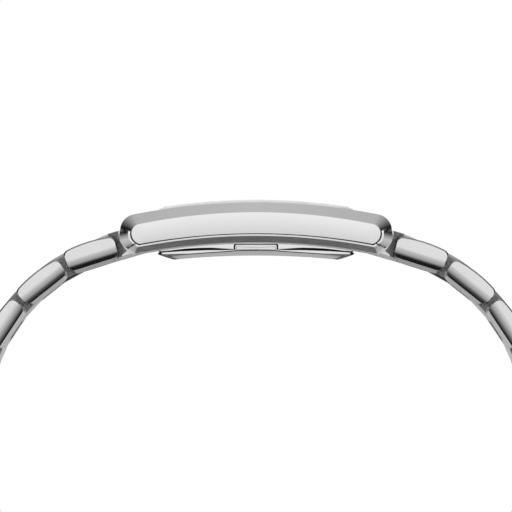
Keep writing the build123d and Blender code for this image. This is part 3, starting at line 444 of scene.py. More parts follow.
def combine(base, tool, operation="DIFFERENCE"):
    """Cuts, joins or crosses a solid with a tool, which is used up."""
    step = base.modifiers.new("step", "BOOLEAN")
    step.operation, step.object, step.solver = operation, tool, "EXACT"
    bpy.context.view_layer.update()
    graph = bpy.context.evaluated_depsgraph_get()
    base.data = bpy.data.meshes.new_from_object(base.evaluated_get(graph))
    base.modifiers.clear()
    bpy.data.objects.remove(tool)


# The block between the flanks, and the skirt under it that the back snaps into.
block_top, block_edge = flank_crest - 0.12, 1.6
top_x, face_x = half_length - 4.1, half_length - 2.7
block_ring = arch_points(block_top, crest_radius, top_x, -top_x, arc_steps)
block_ring += [(-top_x, arc_height(block_top, crest_radius, top_x)), (-face_x, block_edge)]
block_ring += arch_points(belly_height, belly_radius, -face_x, face_x, arc_steps)
block_ring += [(face_x, arc_height(belly_height, belly_radius, face_x)), (face_x, block_edge)]

skirt_half, skirt_top, skirt_end, skirt_steps = 11.1, 1.17, 11.2, 56
skirt_levels = ((2.35, -0.68), (3.65, -0.62), (5.41, -0.52), (8.0, -0.61), (10.1, -0.83), (skirt_end, -0.9))
skirt_xs = [skirt_end * i / skirt_steps for i in range(-skirt_steps, skirt_steps + 1)]
skirt_ring = [(skirt_end, skirt_top), (-skirt_end, skirt_top)]
skirt_ring += [(x, level_through(skirt_levels, x)) for x in skirt_xs]

# Pocket of the crystal, cavity of the movement, opener notch in two steps, and hole of the crown tube.
crystal_crest, crystal_radius = flank_crest + 0.34, 72.0
pocket_length, pocket_width, pocket_corner = 22.9, 18.8, 1.6
pocket_floor, pocket_floor_radius = crystal_crest - 1.02, 71.0
cavity_length, cavity_width, cavity_corner = 20.8, 17.0, 1.4
notch_height, notch_corner, notch_steps = 2.0, 0.17, 16
notch_cuts = (
    ((-11.2, 5.44, -0.04), (-10.9, 4.88, -0.2), -10.4, 0),
    ((-10.5, 4.8, -0.33), (-10.3, 4.62, -0.42), -9.9, 0.07),
)
tube_height, tube_radius, tube_start = 1.4, 0.75, 7.5


def notch_cutter(mouth, throat, end_y, sag):
    """Cutter for one step of the opener notch; mouth and throat are (y, length, top height)."""
    rings = []
    for y, length, top in (mouth, throat, (end_y, *throat[1:])):
        ring = []
        for x, z in plan_outline(length, notch_height, notch_corner, notch_steps):
            dip = sag * (1 - (2 * x / length) ** 2) if z > 0 else 0
            ring.append((x, y, z + top - notch_height / 2 - dip + pin_line))
        rings.append(ring)
    # The sloping wall from mouth to throat is near-black steel, a painted shade.
    return solid("notch", rings, case_finishes, (PAINTED_SHADE, POLISHED), (POLISHED, POLISHED))


case_body = flank_piece("case_body", -1)
combine(case_body, flank_piece("flank_far", 1), "UNION")
combine(case_body, prism("block", block_ring, -lug_half - overlap, lug_half + overlap, BRUSHED), "UNION")
combine(case_body, prism("skirt", skirt_ring, -skirt_half, skirt_half, POLISHED), "UNION")
for x in (-pin_x, pin_x):
    combine(case_body, round_bar(x, 0, pin_boss_radius, -lug_half, lug_half))
combine(case_body, upright_block(
    "pocket", pocket_length, pocket_width, pocket_corner,
    lambda x: arc_height(pocket_floor, pocket_floor_radius, x), flank_crest + cut_overrun,
))
combine(case_body, upright_block(
    "cavity", cavity_length, cavity_width, cavity_corner, -cut_overrun, flank_crest
))
for mouth, throat, end_y, sag in notch_cuts:
    combine(case_body, notch_cutter(mouth, throat, end_y, sag))
combine(case_body, round_bar(0, tube_height, tube_radius, tube_start, half_width + cut_overrun))
soften(case_body)
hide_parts("case_middle")
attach(case_body, "head")


# Dial and hands. A stamped brass dial with a silvered face and polished steel batons set in it,
# and two blued steel hands pressed on their arbors.
def plain(name, dark, light, rough, metallic, scale, relief=(0.1, 0.01)):
    """Material of one colour with a fine mottle in tone, gloss and surface."""
    finish, tree = new_finish(name)
    place, mottle = tree.nodes.new("ShaderNodeTexCoord"), tree.nodes.new("ShaderNodeTexNoise")
    mottle.inputs["Scale"].default_value = scale
    mottle.inputs["Detail"].default_value = 4.0
    tree.links.new(place.outputs["Object"], mottle.inputs["Vector"])
    value = mottle.outputs["Fac"]
    surface(finish, metallic, value, value, (dark, light), (rough * 0.8, rough * 1.2), relief)
    return finish


def give(finish, *names):
    """Gives CAD nodes their finish."""
    for name in names:
        node = nodes[name]
        node.data.materials.clear()
        node.data.materials.append(finish)


dial_silver = plain("dial_silver", (0.62, 0.62, 0.6), (0.78, 0.78, 0.76), 0.45, 0.6, 2500)
blued_steel = plain("blued_steel", (0.02, 0.04, 0.14), (0.04, 0.08, 0.24), 0.2, 0.9, 1500)
give(dial_silver, "dial")
give(polished_steel, "hour_markers")
give(blued_steel, "hour_hand", "minute_hand")

# Movement. A small quartz train: nickelled plate and bridge, brass wheels, a copper coil
# on an iron core, a green board and a button cell, in a plastic ring.
nickel = plain("nickelled_brass", (0.6, 0.58, 0.52), (0.72, 0.7, 0.64), 0.35, 1.0, 1800)
wheel_brass = plain("wheel_brass", (0.7, 0.52, 0.22), (0.82, 0.64, 0.32), 0.25, 1.0, 1800)
cell_steel = plain("cell_steel", (0.55, 0.55, 0.56), (0.68, 0.68, 0.69), 0.3, 1.0, 1200)
copper = plain("coil_copper", (0.6, 0.26, 0.12), (0.8, 0.4, 0.2), 0.35, 1.0, 6000)
board_green = plain("board_green", (0.02, 0.16, 0.07), (0.05, 0.26, 0.12), 0.5, 0.0, 1500)
ring_plastic = plain("ring_plastic", (0.55, 0.55, 0.52), (0.66, 0.66, 0.63), 0.55, 0.0, 1500)
magnet = plain("rotor_magnet", (0.12, 0.12, 0.13), (0.22, 0.22, 0.23), 0.4, 0.8, 1500)
give(nickel, "movement_plate", "train_bridge")
give(wheel_brass, "centre_wheel", "minute_wheel", "hour_wheel", "intermediate_wheel")
give(cell_steel, "battery")
give(copper, "coil")
give(board_green, "circuit_board")
give(ring_plastic, "movement_ring")
give(magnet, "rotor")

# Crystal and its gasket. A slice of mineral glass bent to the curve of the case, pressed into its
# pocket with a thin plastic frame and a little proud of the steel; its faces are clear, its edge ground.
crystal_length, crystal_width, crystal_corner = 22.1, 18.0, 1.2
crystal_thickness, crystal_bevel = 1.0, 0.15

gasket_plastic = plain("gasket_plastic", (0.88, 0.88, 0.88), (1.0, 1.0, 1.0), 0.35, 0.0, 1500)
give(gasket_plastic, "crystal_gasket")
crystal_glass = plain("crystal_glass", (0.96, 0.97, 0.97), (1.0, 1.0, 1.0), 0.02, 0.0, 700, (0.01, 0.001))
ground_glass = plain("ground_glass", (0.8, 0.8, 0.8), (1.0, 1.0, 1.0), 0.4, 0.0, 900, (0.2, 0.01))
glass_index = 1.5
for finish, weight in ((crystal_glass, 1.0), (ground_glass, 0.2)):
    shader = finish.node_tree.nodes["Principled BSDF"]
    shader.inputs["Transmission Weight"].default_value = weight
    shader.inputs["IOR"].default_value = glass_index


def crystal_ring(inset, drop, flat=False):
    """Plan outline of the crystal, moved in by an inset and down from the arch of its top."""
    outline = plan_outline(crystal_length - 2 * inset, crystal_width - 2 * inset, crystal_corner - inset)
    radius = crystal_radius - drop
    tops = [arc_height(crystal_crest - drop, radius, x) + pin_line for x, y in outline]
    return [(x, 0 if flat else y, z) for (x, y), z in zip(outline, tops)]


crystal_rings = [
    crystal_ring(0, crystal_thickness, flat=True), crystal_ring(0, crystal_thickness),
    crystal_ring(0, crystal_bevel), crystal_ring(crystal_bevel, 0), crystal_ring(crystal_bevel, 0, flat=True),
]
crystal_slice = solid("crystal_slice", crystal_rings, (crystal_glass, ground_glass), (0, 1, 1, 0))
soften(crystal_slice)
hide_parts("crystal")
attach(crystal_slice, "head")

# Case back. A milled steel plate with slanted ends and sides that snaps in under the skirt, sealed by
# a rubber frame. Its rim is polished and the slanted band under it is brushed lengthwise; inside it
# has a hollow plug for the movement and a near-black ledge, a painted shadow, that closes the gap to
# the skirt; its ends are painted near-black as well, a painted shade.
back_half_length, back_half_width, back_corner = 11.6, 11.3, 0.7
back_rim_levels = (
    (0.0, -0.7), (2.35, -0.71), (3.65, -0.78), (5.41, -0.79), (8.0, -0.88), (10.1, -1.0),
    (back_half_length, -1.12),
)
back_line_levels = (
    (0.0, -0.74), (2.35, -0.79), (3.65, -0.91), (5.41, -1.03), (8.0, -1.2), (10.1, -1.27),
    (back_half_length, -1.3),
)
back_bottom, back_bottom_radius = -1.45, 98.0
back_end_slant, back_side_run, back_run_rise, back_end_power = 1.9, 0.3, 0.65, 6
back_groove, back_step, back_ease, rim_edge = 0.05, 0.1, 0.03, 0.04
back_bands, band_start = 6, 0.05
plug_plan, plug_low, plug_high = (20.0, 16.2, 1.05), -1.0, -0.2
ledge_plan, ledge_low, ledge_gap = (22.9, 17.0, 0.5), -1.2, 0.03
well_plan, well_low, well_high = (18.6, 14.8, 0.5), -0.9, 1.0
painted_shade_end_x = 11.17

gasket_rubber = plain("gasket_rubber", (0.02, 0.02, 0.02), (0.04, 0.04, 0.04), 0.6, 0.0, 1500)
give(gasket_rubber, "back_gasket")


def back_rim(x):
    """Height of the back's upper edge."""
    return level_through(back_rim_levels, x)


def back_line(x):
    """Height of the line between the polished rim and the slanted band."""
    return level_through(back_line_levels, x)


def back_low(x):
    """Height of the back's underside."""
    return arc_height(back_bottom, back_bottom_radius, x)


def back_band(share):
    """Height part of the way down the slanted band, as a function of x."""
    return lambda x: back_line(x) * (1 - share) + back_low(x) * share


def back_ring(slant, run, level, flat=False):
    """Plan outline of the back at one level of its slanted ends and sides."""
    outline = plan_outline(2 * (back_half_length - slant), 2 * back_half_width, back_corner)
    narrowed = []
    for x, y in outline:
        tall = (back_line(x) - back_low(x)) / (back_line_levels[0][1] - back_bottom)
        inwards = run * tall * (1 + (x / back_half_length) ** back_end_power)
        narrowed.append((x, 0 if flat else y * (1 - inwards / back_half_width), level(x) + pin_line))
    return narrowed


back_rings = [
    back_ring(back_step, back_step, back_rim, flat=True),
    back_ring(back_ease, back_ease, back_rim),
    back_ring(0, 0, lambda x: back_rim(x) - back_ease),
    back_ring(back_step, 0, lambda x: min(back_line(x), back_rim(x) - rim_edge)),
]
for share in [i / back_bands for i in range(back_bands + 1)]:
    slant = back_step + (back_end_slant - back_step) * share
    run = back_groove + back_side_run * share**back_run_rise
    back_rings.append(back_ring(slant, run, back_band(band_start + (1 - band_start) * share)))
back_rings.append(back_ring(back_end_slant, 0, back_low, flat=True))
back_finishes = [POLISHED] * 4 + [BRUSHED] * (back_bands + 1)
back_plate = solid("back_plate", back_rings, case_finishes, back_finishes)
combine(back_plate, upright_block("plug", *plug_plan, plug_low, plug_high), "UNION")
# The ledge is near-black steel set in the gap under the skirt, a painted shadow.
ledge = upright_block(
    "ledge", *ledge_plan, ledge_low, lambda x: level_through(skirt_levels, x) - ledge_gap, PAINTED_SHADE
)
combine(back_plate, ledge, "UNION")
# The back's ends are painted near-black, a painted shade.
for face in back_plate.data.polygons:
    if abs(face.center.x) > painted_shade_end_x * mm:
        face.material_index = PAINTED_SHADE
combine(back_plate, upright_block("well", *well_plan, well_low, well_high))
soften(back_plate)
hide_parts("case_back")
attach(back_plate, "head")

# Crown. A ridged steel crown screwed on its stem, which runs in a tube pressed through the far
# flank and is held by the setting lever; all four are turned or stamped from steel and polished.
give(polished_steel, "crown", "crown_tube", "stem", "setting_lever")

# Outer and centre links. Solid steel links, cut from drawn bar: outer links in pairs on common pins,
# and centre links between them that turn on the same pins. The sides of the outer links are brushed
# lengthwise and turn under towards the wrist.
half_pitch = 3.37
bracelet_half, centre_half, outer_inside = 9.5, 4.5, 4.65
link_low, link_reach, link_arch = -1.5, half_pitch / 2 + 1.515, 16.0
first_crown, last_crown, taper_links = 1.9, 1.3, 6
top_corner, bottom_corner = 0.75, 1.1
link_bevel, edge_bevel = 0.2, 0.25
# Brushed side of an outer link within its bevelled edge, and how it turns under.
side_drop, side_lift, side_inset, side_corner_drop = 0.16, 0.5, 0.12, 0.05
side_taper, taper_height = 0.03, 0.3
heart_x, heart_z, heart_share = 1.9, 0.25, 0.1
side_shares, bevel_shares = (0, 0.25, 0.5, 0.75, 0.95, 1), (0.3, 0.65, 1)
side_wall = 0.6
turn_start, turn_radius, turn_end, turn_cuts = 0.3, 1.62, -1.05, 12
strip_run, strip_cuts = 0.24, [-1.2, -1.35]
end_turn_x, end_turn_run = 2.5, 0.4
dark_edge_height, dark_edge_x = -0.3, 2.4
pin_radius, pin_inset, pin_steps = 0.5, 1.3, 32
corner_steps, top_steps = 7, 28
link_last = 15
link_sharp_angle = radians(24)

link_satin = metal("link_satin", grain_group, "Shade", (0.8, 0.92), (0.18, 0.26), (0.2, 0.003))
# The edge steel is a darker copy of the polished steel, painted shade on the links' bevels and lower strips.
painted_shade_edge_steel = metal("painted_shade_edge_steel", wear_group, "Smudge", (0.4, 0.52), (0.15, 0.25), (0.05, 0.002))
# The recess steel is dark and mottled, painted shade on faces set back between links and behind the end rims.
recess_shade_steel = metal(
    "recess_shade_steel", wear_group, "Height", (0.02, 0.5), (0.3, 0.5), (0.3, 0.01), [("Marks Per Metre", 2200.0)]
)


def place_in(tree):
    """Separated object coordinates in a node tree."""
    place, split = tree.nodes.new("ShaderNodeTexCoord"), tree.nodes.new("ShaderNodeSeparateXYZ")
    tree.links.new(place.outputs["Object"], split.inputs[0])
    return split


def eased(tree, value, low, high, least=0.0):
    """Output that eases from its least up to 1 while a value runs from low to high."""
    step = tree.nodes.new("ShaderNodeMapRange")
    step.interpolation_type = "SMOOTHSTEP"
    step.inputs["From Min"].default_value = low
    step.inputs["From Max"].default_value = high
    step.inputs["To Min"].default_value = least
    tree.links.new(value, step.inputs["Value"])
    return step.outputs[0]


# Painted shade: the links' satin colour darkens towards their lower edge, where their sides have turned
# under.
painted_shade_darkest = 0.02
tree = link_satin.node_tree
painted_shade_tint = tree.nodes.new("ShaderNodeMix")
painted_shade_tint.data_type, painted_shade_tint.blend_type = "RGBA", "MULTIPLY"
painted_shade_tint.inputs[0].default_value = 1
socket = tree.nodes["Principled BSDF"].inputs["Base Color"]
tree.links.new(socket.links[0].from_socket, painted_shade_tint.inputs[6])
tree.links.new(eased(tree, place_in(tree).outputs["Z"], turn_end * mm, 0, painted_shade_darkest), painted_shade_tint.inputs[7])
tree.links.new(painted_shade_tint.outputs[2], socket)
link_finishes = (link_satin, painted_shade_edge_steel, brushed_edge_steel, polished_steel, recess_shade_steel)
SIDE, EDGE, UNDER, MIDDLE, RECESS_SHADE = range(len(link_finishes))

hinge_at = {j["name"]: j.get("pos_m") for j in frame["joints"]}
hinge_names = ["end_link_12_hinge", "outer_links_12_1_hinge"]
for number in range(2, 9):
    hinge_names += [f"centre_link_12_{number}_hinge", f"outer_links_12_{number}_hinge"]
hinge_names.append("clasp_end_hinge")
chain = [(hinge_at[name][0] / mm, hinge_at[name][2] / mm) for name in hinge_names]


def link_crown(index):
    """Height of a link's outer face over its pins, falling away from the case."""
    step = min(index, taper_links) / taper_links
    return first_crown - (first_crown - last_crown) * (1 - (1 - step) ** 2)


def link_ring(top, low, reach, top_round, bottom_round):
    """Side outline of a link in its own frame, anticlockwise from the right end of its top."""
    centre = top - link_arch
    lean = asin((reach - top_round) / (link_arch - top_round))
    cx, cz = reach - top_round, centre + sqrt((link_arch - top_round) ** 2 - (reach - top_round) ** 2)
    turns = [(pi / 2 - lean) * i / corner_steps for i in range(corner_steps)]
    corner = [(cx + top_round * cos(a), cz + top_round * sin(a)) for a in turns]
    leans = [lean * (1 - 2 * i / top_steps) for i in range(top_steps + 1)]
    arch = [(link_arch * sin(a), centre + link_arch * cos(a)) for a in leans]
    fx, fz = reach - bottom_round, low + bottom_round
    turns = [pi / 2 * i / corner_steps for i in range(corner_steps + 1)]
    foot = [(-fx - bottom_round * cos(a), fz - bottom_round * sin(a)) for a in turns]
    left, right_foot = ([(-x, z) for x, z in part[::-1]] for part in (corner, foot))
    return corner + arch + left + foot + right_foot


def turned_depth(z):
    """How far the outer side of a link has turned inwards at a height."""
    if z >= turn_start:
        return 0.0
    at_crease = turn_radius - sqrt(turn_radius**2 - (turn_start - turn_end) ** 2)
    if z < turn_end:
        return at_crease + strip_run * (turn_end - z) / (turn_end - link_low)
    return turn_radius - sqrt(turn_radius**2 - (turn_start - z) ** 2)


def split_levels(piece, levels):
    """Cuts a mesh along level planes, keeping both sides."""
    shape = bmesh.new()
    shape.from_mesh(piece.data)
    for z in levels:
        every = shape.verts[:] + shape.edges[:] + shape.faces[:]
        bmesh.ops.bisect_plane(
            shape, geom=every, dist=sliver_length, plane_co=(0, 0, z * mm), plane_no=(0, 0, 1)
        )
    shape.to_mesh(piece.data)
    shape.free()


def merge(name, pieces):
    """Joins links and pins into one object."""
    shape = bmesh.new()
    for piece in pieces:
        shape.from_mesh(piece.data)
        bpy.data.objects.remove(piece)
    return as_object(name, shape, link_finishes)


def side_link(top):
    """Outer link on the near side, in its own frame."""
    full = link_ring(top, link_low, link_reach, top_corner, bottom_corner)
    flat = link_ring(
        top - side_drop, link_low + side_lift, link_reach - side_inset,
        top_corner - side_corner_drop, bottom_corner - side_lift,
    )
    flat = [(x * (1 - side_taper * max(0.0, min(taper_height - z, 1.0))), z) for x, z in flat]
    heart = [(max(-heart_x, min(heart_x, x)), heart_z + heart_share * z) for x, z in flat]
    rings, bands = [], []
    for share in side_shares:
        rings.append([(x, -bracelet_half, z) for x, z in blend_points(heart, flat, share)])
        bands.append(SIDE)
    bands[-1] = EDGE
    for share in bevel_shares:
        y = -bracelet_half + link_bevel * share
        rings.append([(x, y, z) for x, z in blend_points(flat, full, share)])
        bands.append(EDGE)
    bands[-1] = UNDER
    rings += [[(x, y, z) for x, z in full] for y in (-outer_inside - side_wall, -outer_inside)]
    bands.append(UNDER)
    piece = solid("side_link", rings, link_finishes, bands, (SIDE, RECESS_SHADE))
    turn_levels = [turn_start + (turn_end - turn_start) * i / turn_cuts for i in range(turn_cuts + 1)]
    split_levels(piece, turn_levels + strip_cuts)
    for vertex in piece.data.vertices:
        x, y, z = vertex.co / mm
        if y < -outer_inside - side_wall - link_bevel / 2:
            depth, turned = y + bracelet_half, turned_depth(z)
            at_end = max(0.0, min((abs(x) - end_turn_x) / end_turn_run, 1.0))
            depth = max(depth, turned) * (1 - at_end) + (depth + turned) * at_end
            vertex.co.y = (depth - bracelet_half) * mm
    for face in piece.data.polygons:
        x, y, z = face.center / mm
        if face.material_index < UNDER and z < turn_end:
            face.material_index = UNDER
        # Low in the middle the bevel keeps the satin instead of the edge steel's painted shade.
        elif face.material_index == EDGE and z < dark_edge_height and abs(x) < dark_edge_x:
            face.material_index = SIDE
    return piece


def far_copy(piece):
    """Mirror image of a piece on the far side."""
    other = piece.copy()
    other.data = piece.data.copy()
    bpy.context.scene.collection.objects.link(other)
    for vertex in other.data.vertices:
        vertex.co.y = -vertex.co.y
    other.data.flip_normals()
    return other


def link_pin(u, reach):
    """Pin of a pair of outer links."""
    turns = [2 * pi * i / pin_steps for i in range(pin_steps)]
    rings = [[(u + pin_radius * cos(a), y, pin_radius * sin(a)) for a in turns] for y in (-reach, reach)]
    return solid("link_pin", rings, link_finishes, [MIDDLE], (MIDDLE, MIDDLE))


def middle_link(top):
    """Centre link with bevelled long edges, in its own frame."""
    full = link_ring(top, link_low, link_reach, top_corner, bottom_corner)
    flat = link_ring(
        top - edge_bevel, link_low + edge_bevel, link_reach,
        top_corner - edge_bevel, bottom_corner - edge_bevel,
    )
    full_half = centre_half - link_bevel
    places = ((flat, -centre_half), (full, -full_half), (full, full_half), (flat, centre_half))
    rings = [[(x, y, z) for x, z in ring] for ring, y in places]
    # Its flat sides, seen in the gaps between outer links, take the dark recess steel, a painted shade.
    return solid("middle_link", rings, link_finishes, [MIDDLE, MIDDLE, MIDDLE], (RECESS_SHADE, RECESS_SHADE))


def link_frame(index):
    """Middle of a link of the 12 o'clock side, between its two hinges, and its lean."""
    (ax, az), (bx, bz) = chain[index], chain[index + 1]
    return (ax + bx) / 2, (az + bz) / 2, atan2(az - bz, ax - bx)


def lay(piece, index, side, node):
    """Places a link between its two hinges and lets it stand for a CAD node."""
    x, z, lean = link_frame(index)
    piece.rotation_euler = (0, side * lean, 0)
    piece.location = (-side * x * mm, 0, z * mm)
    bpy.context.view_layer.update()
    soften(piece, link_sharp_angle)
    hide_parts(node)
    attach(piece, node)


for index in range(1, link_last + 1):
    number = index // 2 + 1
    for side, hour in ((-1, "12"), (1, "6")):
        if index % 2:
            near = side_link(link_crown(index))
            pieces = [near, far_copy(near)]
            ends = (-side, side)[:1 if side > 0 and index == link_last else 2]
            pieces += [link_pin(end * half_pitch / 2, bracelet_half - pin_inset) for end in ends]
            lay(merge(f"outer_pair_{hour}_{number}", pieces), index, side, f"outer_links_{hour}_{number}")
        else:
            lay(middle_link(link_crown(index)), index, side, f"centre_link_{hour}_{number}")

# End links. A milled steel block between the flanks at 12 and 6, on a sprung pin in the case, with a
# centre link's tongue in one piece. A thin rim goes round the end of the case and the sides slant
# away behind it.
end_half, end_nose, end_shoulder, end_strip, slab_reach = 9.35, 1.9, 0.9, -1.1, 9
end_room, end_room_half, end_room_gap = 2.05, 3.0, 0.075
rim_centre, rim_radius, rim_slant = (-12.89, 1.53), 3.36, 0.58
rim_inside, rim_outside, rim_deep = 0.1, 5, 12
rim_area = (
    (-15.18, -0.88), (-16.0, -1.52), (-16.3, -3.0), (-21.0, -3.0), (-21.0, 4.0), (-12.0, 4.0), (-12.0, -0.88),
)


def link_bar(outline, reach, end_finish=RECESS_SHADE):
    """Solid of one side outline across a link, in the link's frame."""
    rings = [[(x, y, z) for x, z in outline] for y in (-reach, reach)]
    return solid("bar", rings, link_finishes, [UNDER], (end_finish, end_finish))


def circle_points(x, z, radius, steps=96):
    """Points of a circle in the side view."""
    turns = [2 * pi * i / steps for i in range(steps)]
    return [(x + radius * cos(a), z + radius * sin(a)) for a in turns]


def first_link(direction):
    """End link in its own frame; the case pin is on the side that direction gives."""
    top = link_crown(0)
    pin, far_pin = direction * half_pitch / 2, -direction * half_pitch / 2
    shoulder = -direction * end_shoulder
    wide = [(shoulder, link_low), (pin, link_low), (pin, top), (shoulder, top)]
    body = link_bar(circle_points(pin, 0, end_nose), end_half, UNDER)
    limit = [(-slab_reach, link_low), (slab_reach, link_low), (slab_reach, top), (-slab_reach, top)]
    combine(body, link_bar(limit, bracelet_half), "INTERSECT")
    combine(body, link_bar(wide, end_half, UNDER), "UNION")
    for y_side in (-1, 1):
        room = link_bar(circle_points(far_pin, 0, end_room), end_room_half)
        for vertex in room.data.vertices:
            vertex.co.y += y_side * (centre_half + end_room_gap + end_room_half) * mm
        combine(body, room)
        combine(body, slanted_ring(direction, y_side))
    split_levels(body, [end_strip])
    # Below the strip the end link takes the darker edge steel, a painted shade.
    for face in body.data.polygons:
        if face.center.z < end_strip * mm:
            face.material_index = EDGE
    combine(body, middle_link(top), "UNION")
    return body


def slanted_ring(direction, y_side):
    """Cutter that leaves a thin rim round the case's end and slants the rest of the side away."""
    middle_x, middle_z, lean = link_frame(0)
    placed = []
    for x, z in (rim_centre, *rim_area):
        dx, dz = x - middle_x, z - middle_z + pin_line
        placed.append((dx * cos(lean) + dz * sin(lean), -dx * sin(lean) + dz * cos(lean)))
    start, end = rim_radius - rim_inside, rim_radius + rim_outside
    start_y, end_y = -end_half - rim_inside * rim_slant, -end_half + rim_outside * rim_slant
    profile = [(start, start_y), (end, end_y), (end, -rim_deep), (start, -rim_deep)]
    rings = []
    for r, y in profile + profile[:1]:
        rings.append([(direction * x, -y_side * y, z) for x, z in circle_points(*placed[0], r)])
    # The faces this cutter leaves take the dark recess steel, a painted shade.
    ring = solid("slanted_ring", rings, link_finishes, [RECESS_SHADE] * 4)
    area = [(direction * x, z) for x, z in placed[1:]]
    combine(ring, link_bar(area, rim_deep + 1), "INTERSECT")
    return ring


for side, hour in ((-1, "12"), (1, "6")):
    lay(first_link(-side), 0, side, f"end_link_{hour}")
give(polished_steel, "case_pins")

# Folding clasp. Three sprung leaves, pressed from steel strip and brushed lengthwise, fold flat on
# one another under the wrist and turn on pins through their rolled knuckles.
give(satin_steel, "clasp_base", "clasp_middle", "clasp_cover")

# Studio. A pale round table with a soft edge, a curved paper tent round the watch that is open to
# the front and back, a glowing card before each opening, a white room and two large soft lamps. The
# tent and the cards show only in the steel.
watch_middle = 0.038
round_steps = 96
floor_radius, floor_fade_start, floor_fade_end = 0.3, 0.4, 0.97
tent_radius, tent_half = 0.8, 0.75
tent_fade_start = 0.35
tent_front_start, tent_front_end, tent_front_glow = 0.3, 0.62, 0.6
# Glow of the tent at each angle above the watch's middle, in degrees.
tent_glow = (
    (-90, 0.03), (-62, 0.03), (-57, 0.06), (-53, 0.34), (-44, 0.46), (-22, 0.57), (-14, 0.47), (-5, 0.37),
    (2, 0.19), (8, 0.07), (13, 0.02), (16, 0.006), (22, 0.04), (32, 0.12), (55, 0.34), (75, 0.48), (90, 0.54),
)
card_side = 4.0
# Each card's name, place along Y, the heights between which it brightens, and its least glow.
cards = (("front_card", -1.0, -0.5, 0.3, 0.5), ("rear_card", 1.0, -1.0, 1.2, 0.12))


def glowing_paper(name):
    """Paper that only glows, with its node tree and its node for the glow."""
    finish, tree = new_finish(name)
    tree.nodes.remove(tree.nodes["Principled BSDF"])
    glow = tree.nodes.new("ShaderNodeEmission")
    tree.links.new(glow.outputs[0], tree.nodes["Material Output"].inputs["Surface"])
    finish.cycles.emission_sampling = "NONE"
    return finish, tree, glow


def show_in_steel(piece, y=0.0):
    """Stages a piece upright across Y, visible in reflections alone."""
    piece.rotation_euler = (pi / 2, 0, 0)
    piece.location = (0, y, watch_middle)
    for ray in ("camera", "diffuse", "transmission", "shadow", "volume_scatter"):
        setattr(piece, f"visible_{ray}", False)


paper, tree = new_finish("table_paper")
add, link = tree.nodes.new, tree.links.new
shader = tree.nodes["Principled BSDF"]
shader.inputs["Base Color"].default_value = (0.9, 0.9, 0.9, 1)
shader.inputs["Roughness"].default_value = 0.9
place, far = add("ShaderNodeTexCoord"), add("ShaderNodeVectorMath")
far.operation = "LENGTH"
link(place.outputs["Object"], far.inputs[0])
edge = eased(tree, far.outputs["Value"], floor_radius * floor_fade_start, floor_radius * floor_fade_end)
clear, mix = add("ShaderNodeBsdfTransparent"), add("ShaderNodeMixShader")
link(edge, mix.inputs[0])
link(shader.outputs[0], mix.inputs[1])
link(clear.outputs[0], mix.inputs[2])
link(mix.outputs[0], tree.nodes["Material Output"].inputs["Surface"])
disc = bmesh.new()
bmesh.ops.create_circle(disc, cap_ends=True, segments=round_steps, radius=floor_radius)
table_top = as_object("table_top", disc, [paper])
table_top.visible_glossy = False

tent_paper, tree, glow = glowing_paper("tent_paper")
add, link = tree.nodes.new, tree.links.new
split = place_in(tree)
side_of, turn, share = add("ShaderNodeMath"), add("ShaderNodeMath"), add("ShaderNodeMapRange")
side_of.operation, turn.operation = "ABSOLUTE", "ARCTAN2"
share.inputs["From Min"].default_value = -pi / 2
share.inputs["From Max"].default_value = pi / 2
link(split.outputs["X"], side_of.inputs[0])
link(split.outputs["Y"], turn.inputs[0])
link(side_of.outputs[0], turn.inputs[1])
link(turn.outputs[0], share.inputs["Value"])
ramp = add("ShaderNodeValToRGB")
while len(ramp.color_ramp.elements) < len(tent_glow):
    ramp.color_ramp.elements.new(0.5)
for stop, (angle, level) in zip(ramp.color_ramp.elements, tent_glow):
    stop.position = (angle + 90) / 180
    stop.color = (level, level, level, 1)
link(share.outputs[0], ramp.inputs[0])
pale = add("ShaderNodeMix")
pale.data_type = "RGBA"
front = eased(tree, share.outputs[0], tent_front_start, tent_front_end, tent_front_glow)
link(eased(tree, split.outputs["Z"], tent_half * tent_fade_start, tent_half), pale.inputs[0])
link(ramp.outputs[0], pale.inputs[6])
link(front, pale.inputs[7])
link(pale.outputs[2], glow.inputs["Color"])
tube = bmesh.new()
bmesh.ops.create_cone(
    tube, cap_ends=False, segments=round_steps, radius1=tent_radius, radius2=tent_radius, depth=tent_half * 2
)
paper_tent = as_object("paper_tent", tube, [tent_paper])
for face in paper_tent.data.polygons:
    face.use_smooth = True
show_in_steel(paper_tent)

for name, y, low, high, least in cards:
    card_paper, tree, glow = glowing_paper(name)
    tree.links.new(eased(tree, place_in(tree).outputs["Y"], low, high, least), glow.inputs["Strength"])
    sheet = bmesh.new()
    bmesh.ops.create_grid(sheet, x_segments=1, y_segments=1, size=card_side / 2)
    show_in_steel(as_object(name, sheet, [card_paper]), y)

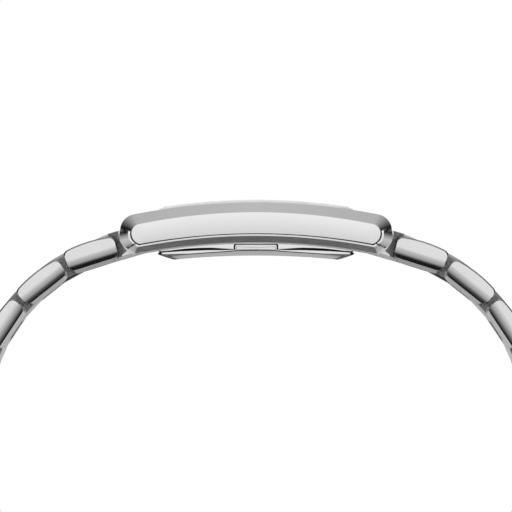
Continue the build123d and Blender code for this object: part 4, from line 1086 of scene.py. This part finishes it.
room_light = 0.7
world = bpy.data.worlds.new("white_room")
bpy.context.scene.world = world
world.use_nodes = True
tree = world.node_tree
add, link = tree.nodes.new, tree.links.new
soft = tree.nodes["Background"]
soft.inputs["Color"].default_value = (1, 1, 1, 1)
soft.inputs["Strength"].default_value = room_light
white = add("ShaderNodeBackground")
white.inputs["Color"].default_value = (1, 1, 1, 1)
white.inputs["Strength"].default_value = 1.0
path = add("ShaderNodeLightPath")
camera_or_gloss, any_ray = add("ShaderNodeMath"), add("ShaderNodeMath")
for step in (camera_or_gloss, any_ray):
    step.operation = "ADD"
    step.use_clamp = True
link(path.outputs["Is Camera Ray"], camera_or_gloss.inputs[0])
link(path.outputs["Is Glossy Ray"], camera_or_gloss.inputs[1])
link(camera_or_gloss.outputs[0], any_ray.inputs[0])
link(path.outputs["Is Transmission Ray"], any_ray.inputs[1])
mix = add("ShaderNodeMixShader")
link(any_ray.outputs[0], mix.inputs[0])
link(soft.outputs[0], mix.inputs[1])
link(white.outputs[0], mix.inputs[2])
link(mix.outputs[0], tree.nodes["World Output"].inputs["Surface"])

lamp_size, lamp_aim = 1.2, (0, 0, 0.02)
for name, place_at, power in (("key_lamp", (-0.9, -1.1, 1.5), 14.0), ("fill_lamp", (1.0, 0.9, 1.4), 6.0)):
    lamp_data = bpy.data.lights.new(name, "AREA")
    lamp_data.shape, lamp_data.size, lamp_data.energy = "DISK", lamp_size, power
    lamp = bpy.data.objects.new(name, lamp_data)
    lamp.location = place_at
    lamp.rotation_euler = (Vector(lamp_aim) - Vector(place_at)).to_track_quat("-Z", "Y").to_euler()
    lamp.visible_glossy = False
    lamp.visible_camera = False
    bpy.context.scene.collection.objects.link(lamp)

# Camera. A long lens level with the case and square to the 9 o'clock flank, a little below the line
# of the pins, so that the case fills the middle of the frame and the bracelet runs out at both sides.
lens_distance = 1.2
frame_width = 60.2 * mm
eye_drop, rows_down, row_height = 0.3, 10.2, 0.1176
eye_height = (pin_line - eye_drop - rows_down * row_height) * mm
eye = bpy.data.cameras.new("side_camera")
eye.sensor_width = 36.0
eye.lens = eye.sensor_width * lens_distance / frame_width
eye.clip_start, eye.clip_end = 0.1, 10
side_camera = bpy.data.objects.new("side_camera", eye)
side_camera.location = (0, -half_width * mm - lens_distance, eye_height)
side_camera.rotation_euler = (pi / 2, 0, 0)
bpy.context.scene.collection.objects.link(side_camera)
bpy.context.scene.camera = side_camera
bpy.context.scene.view_settings.view_transform = "Standard"

bpy.context.view_layer.update()
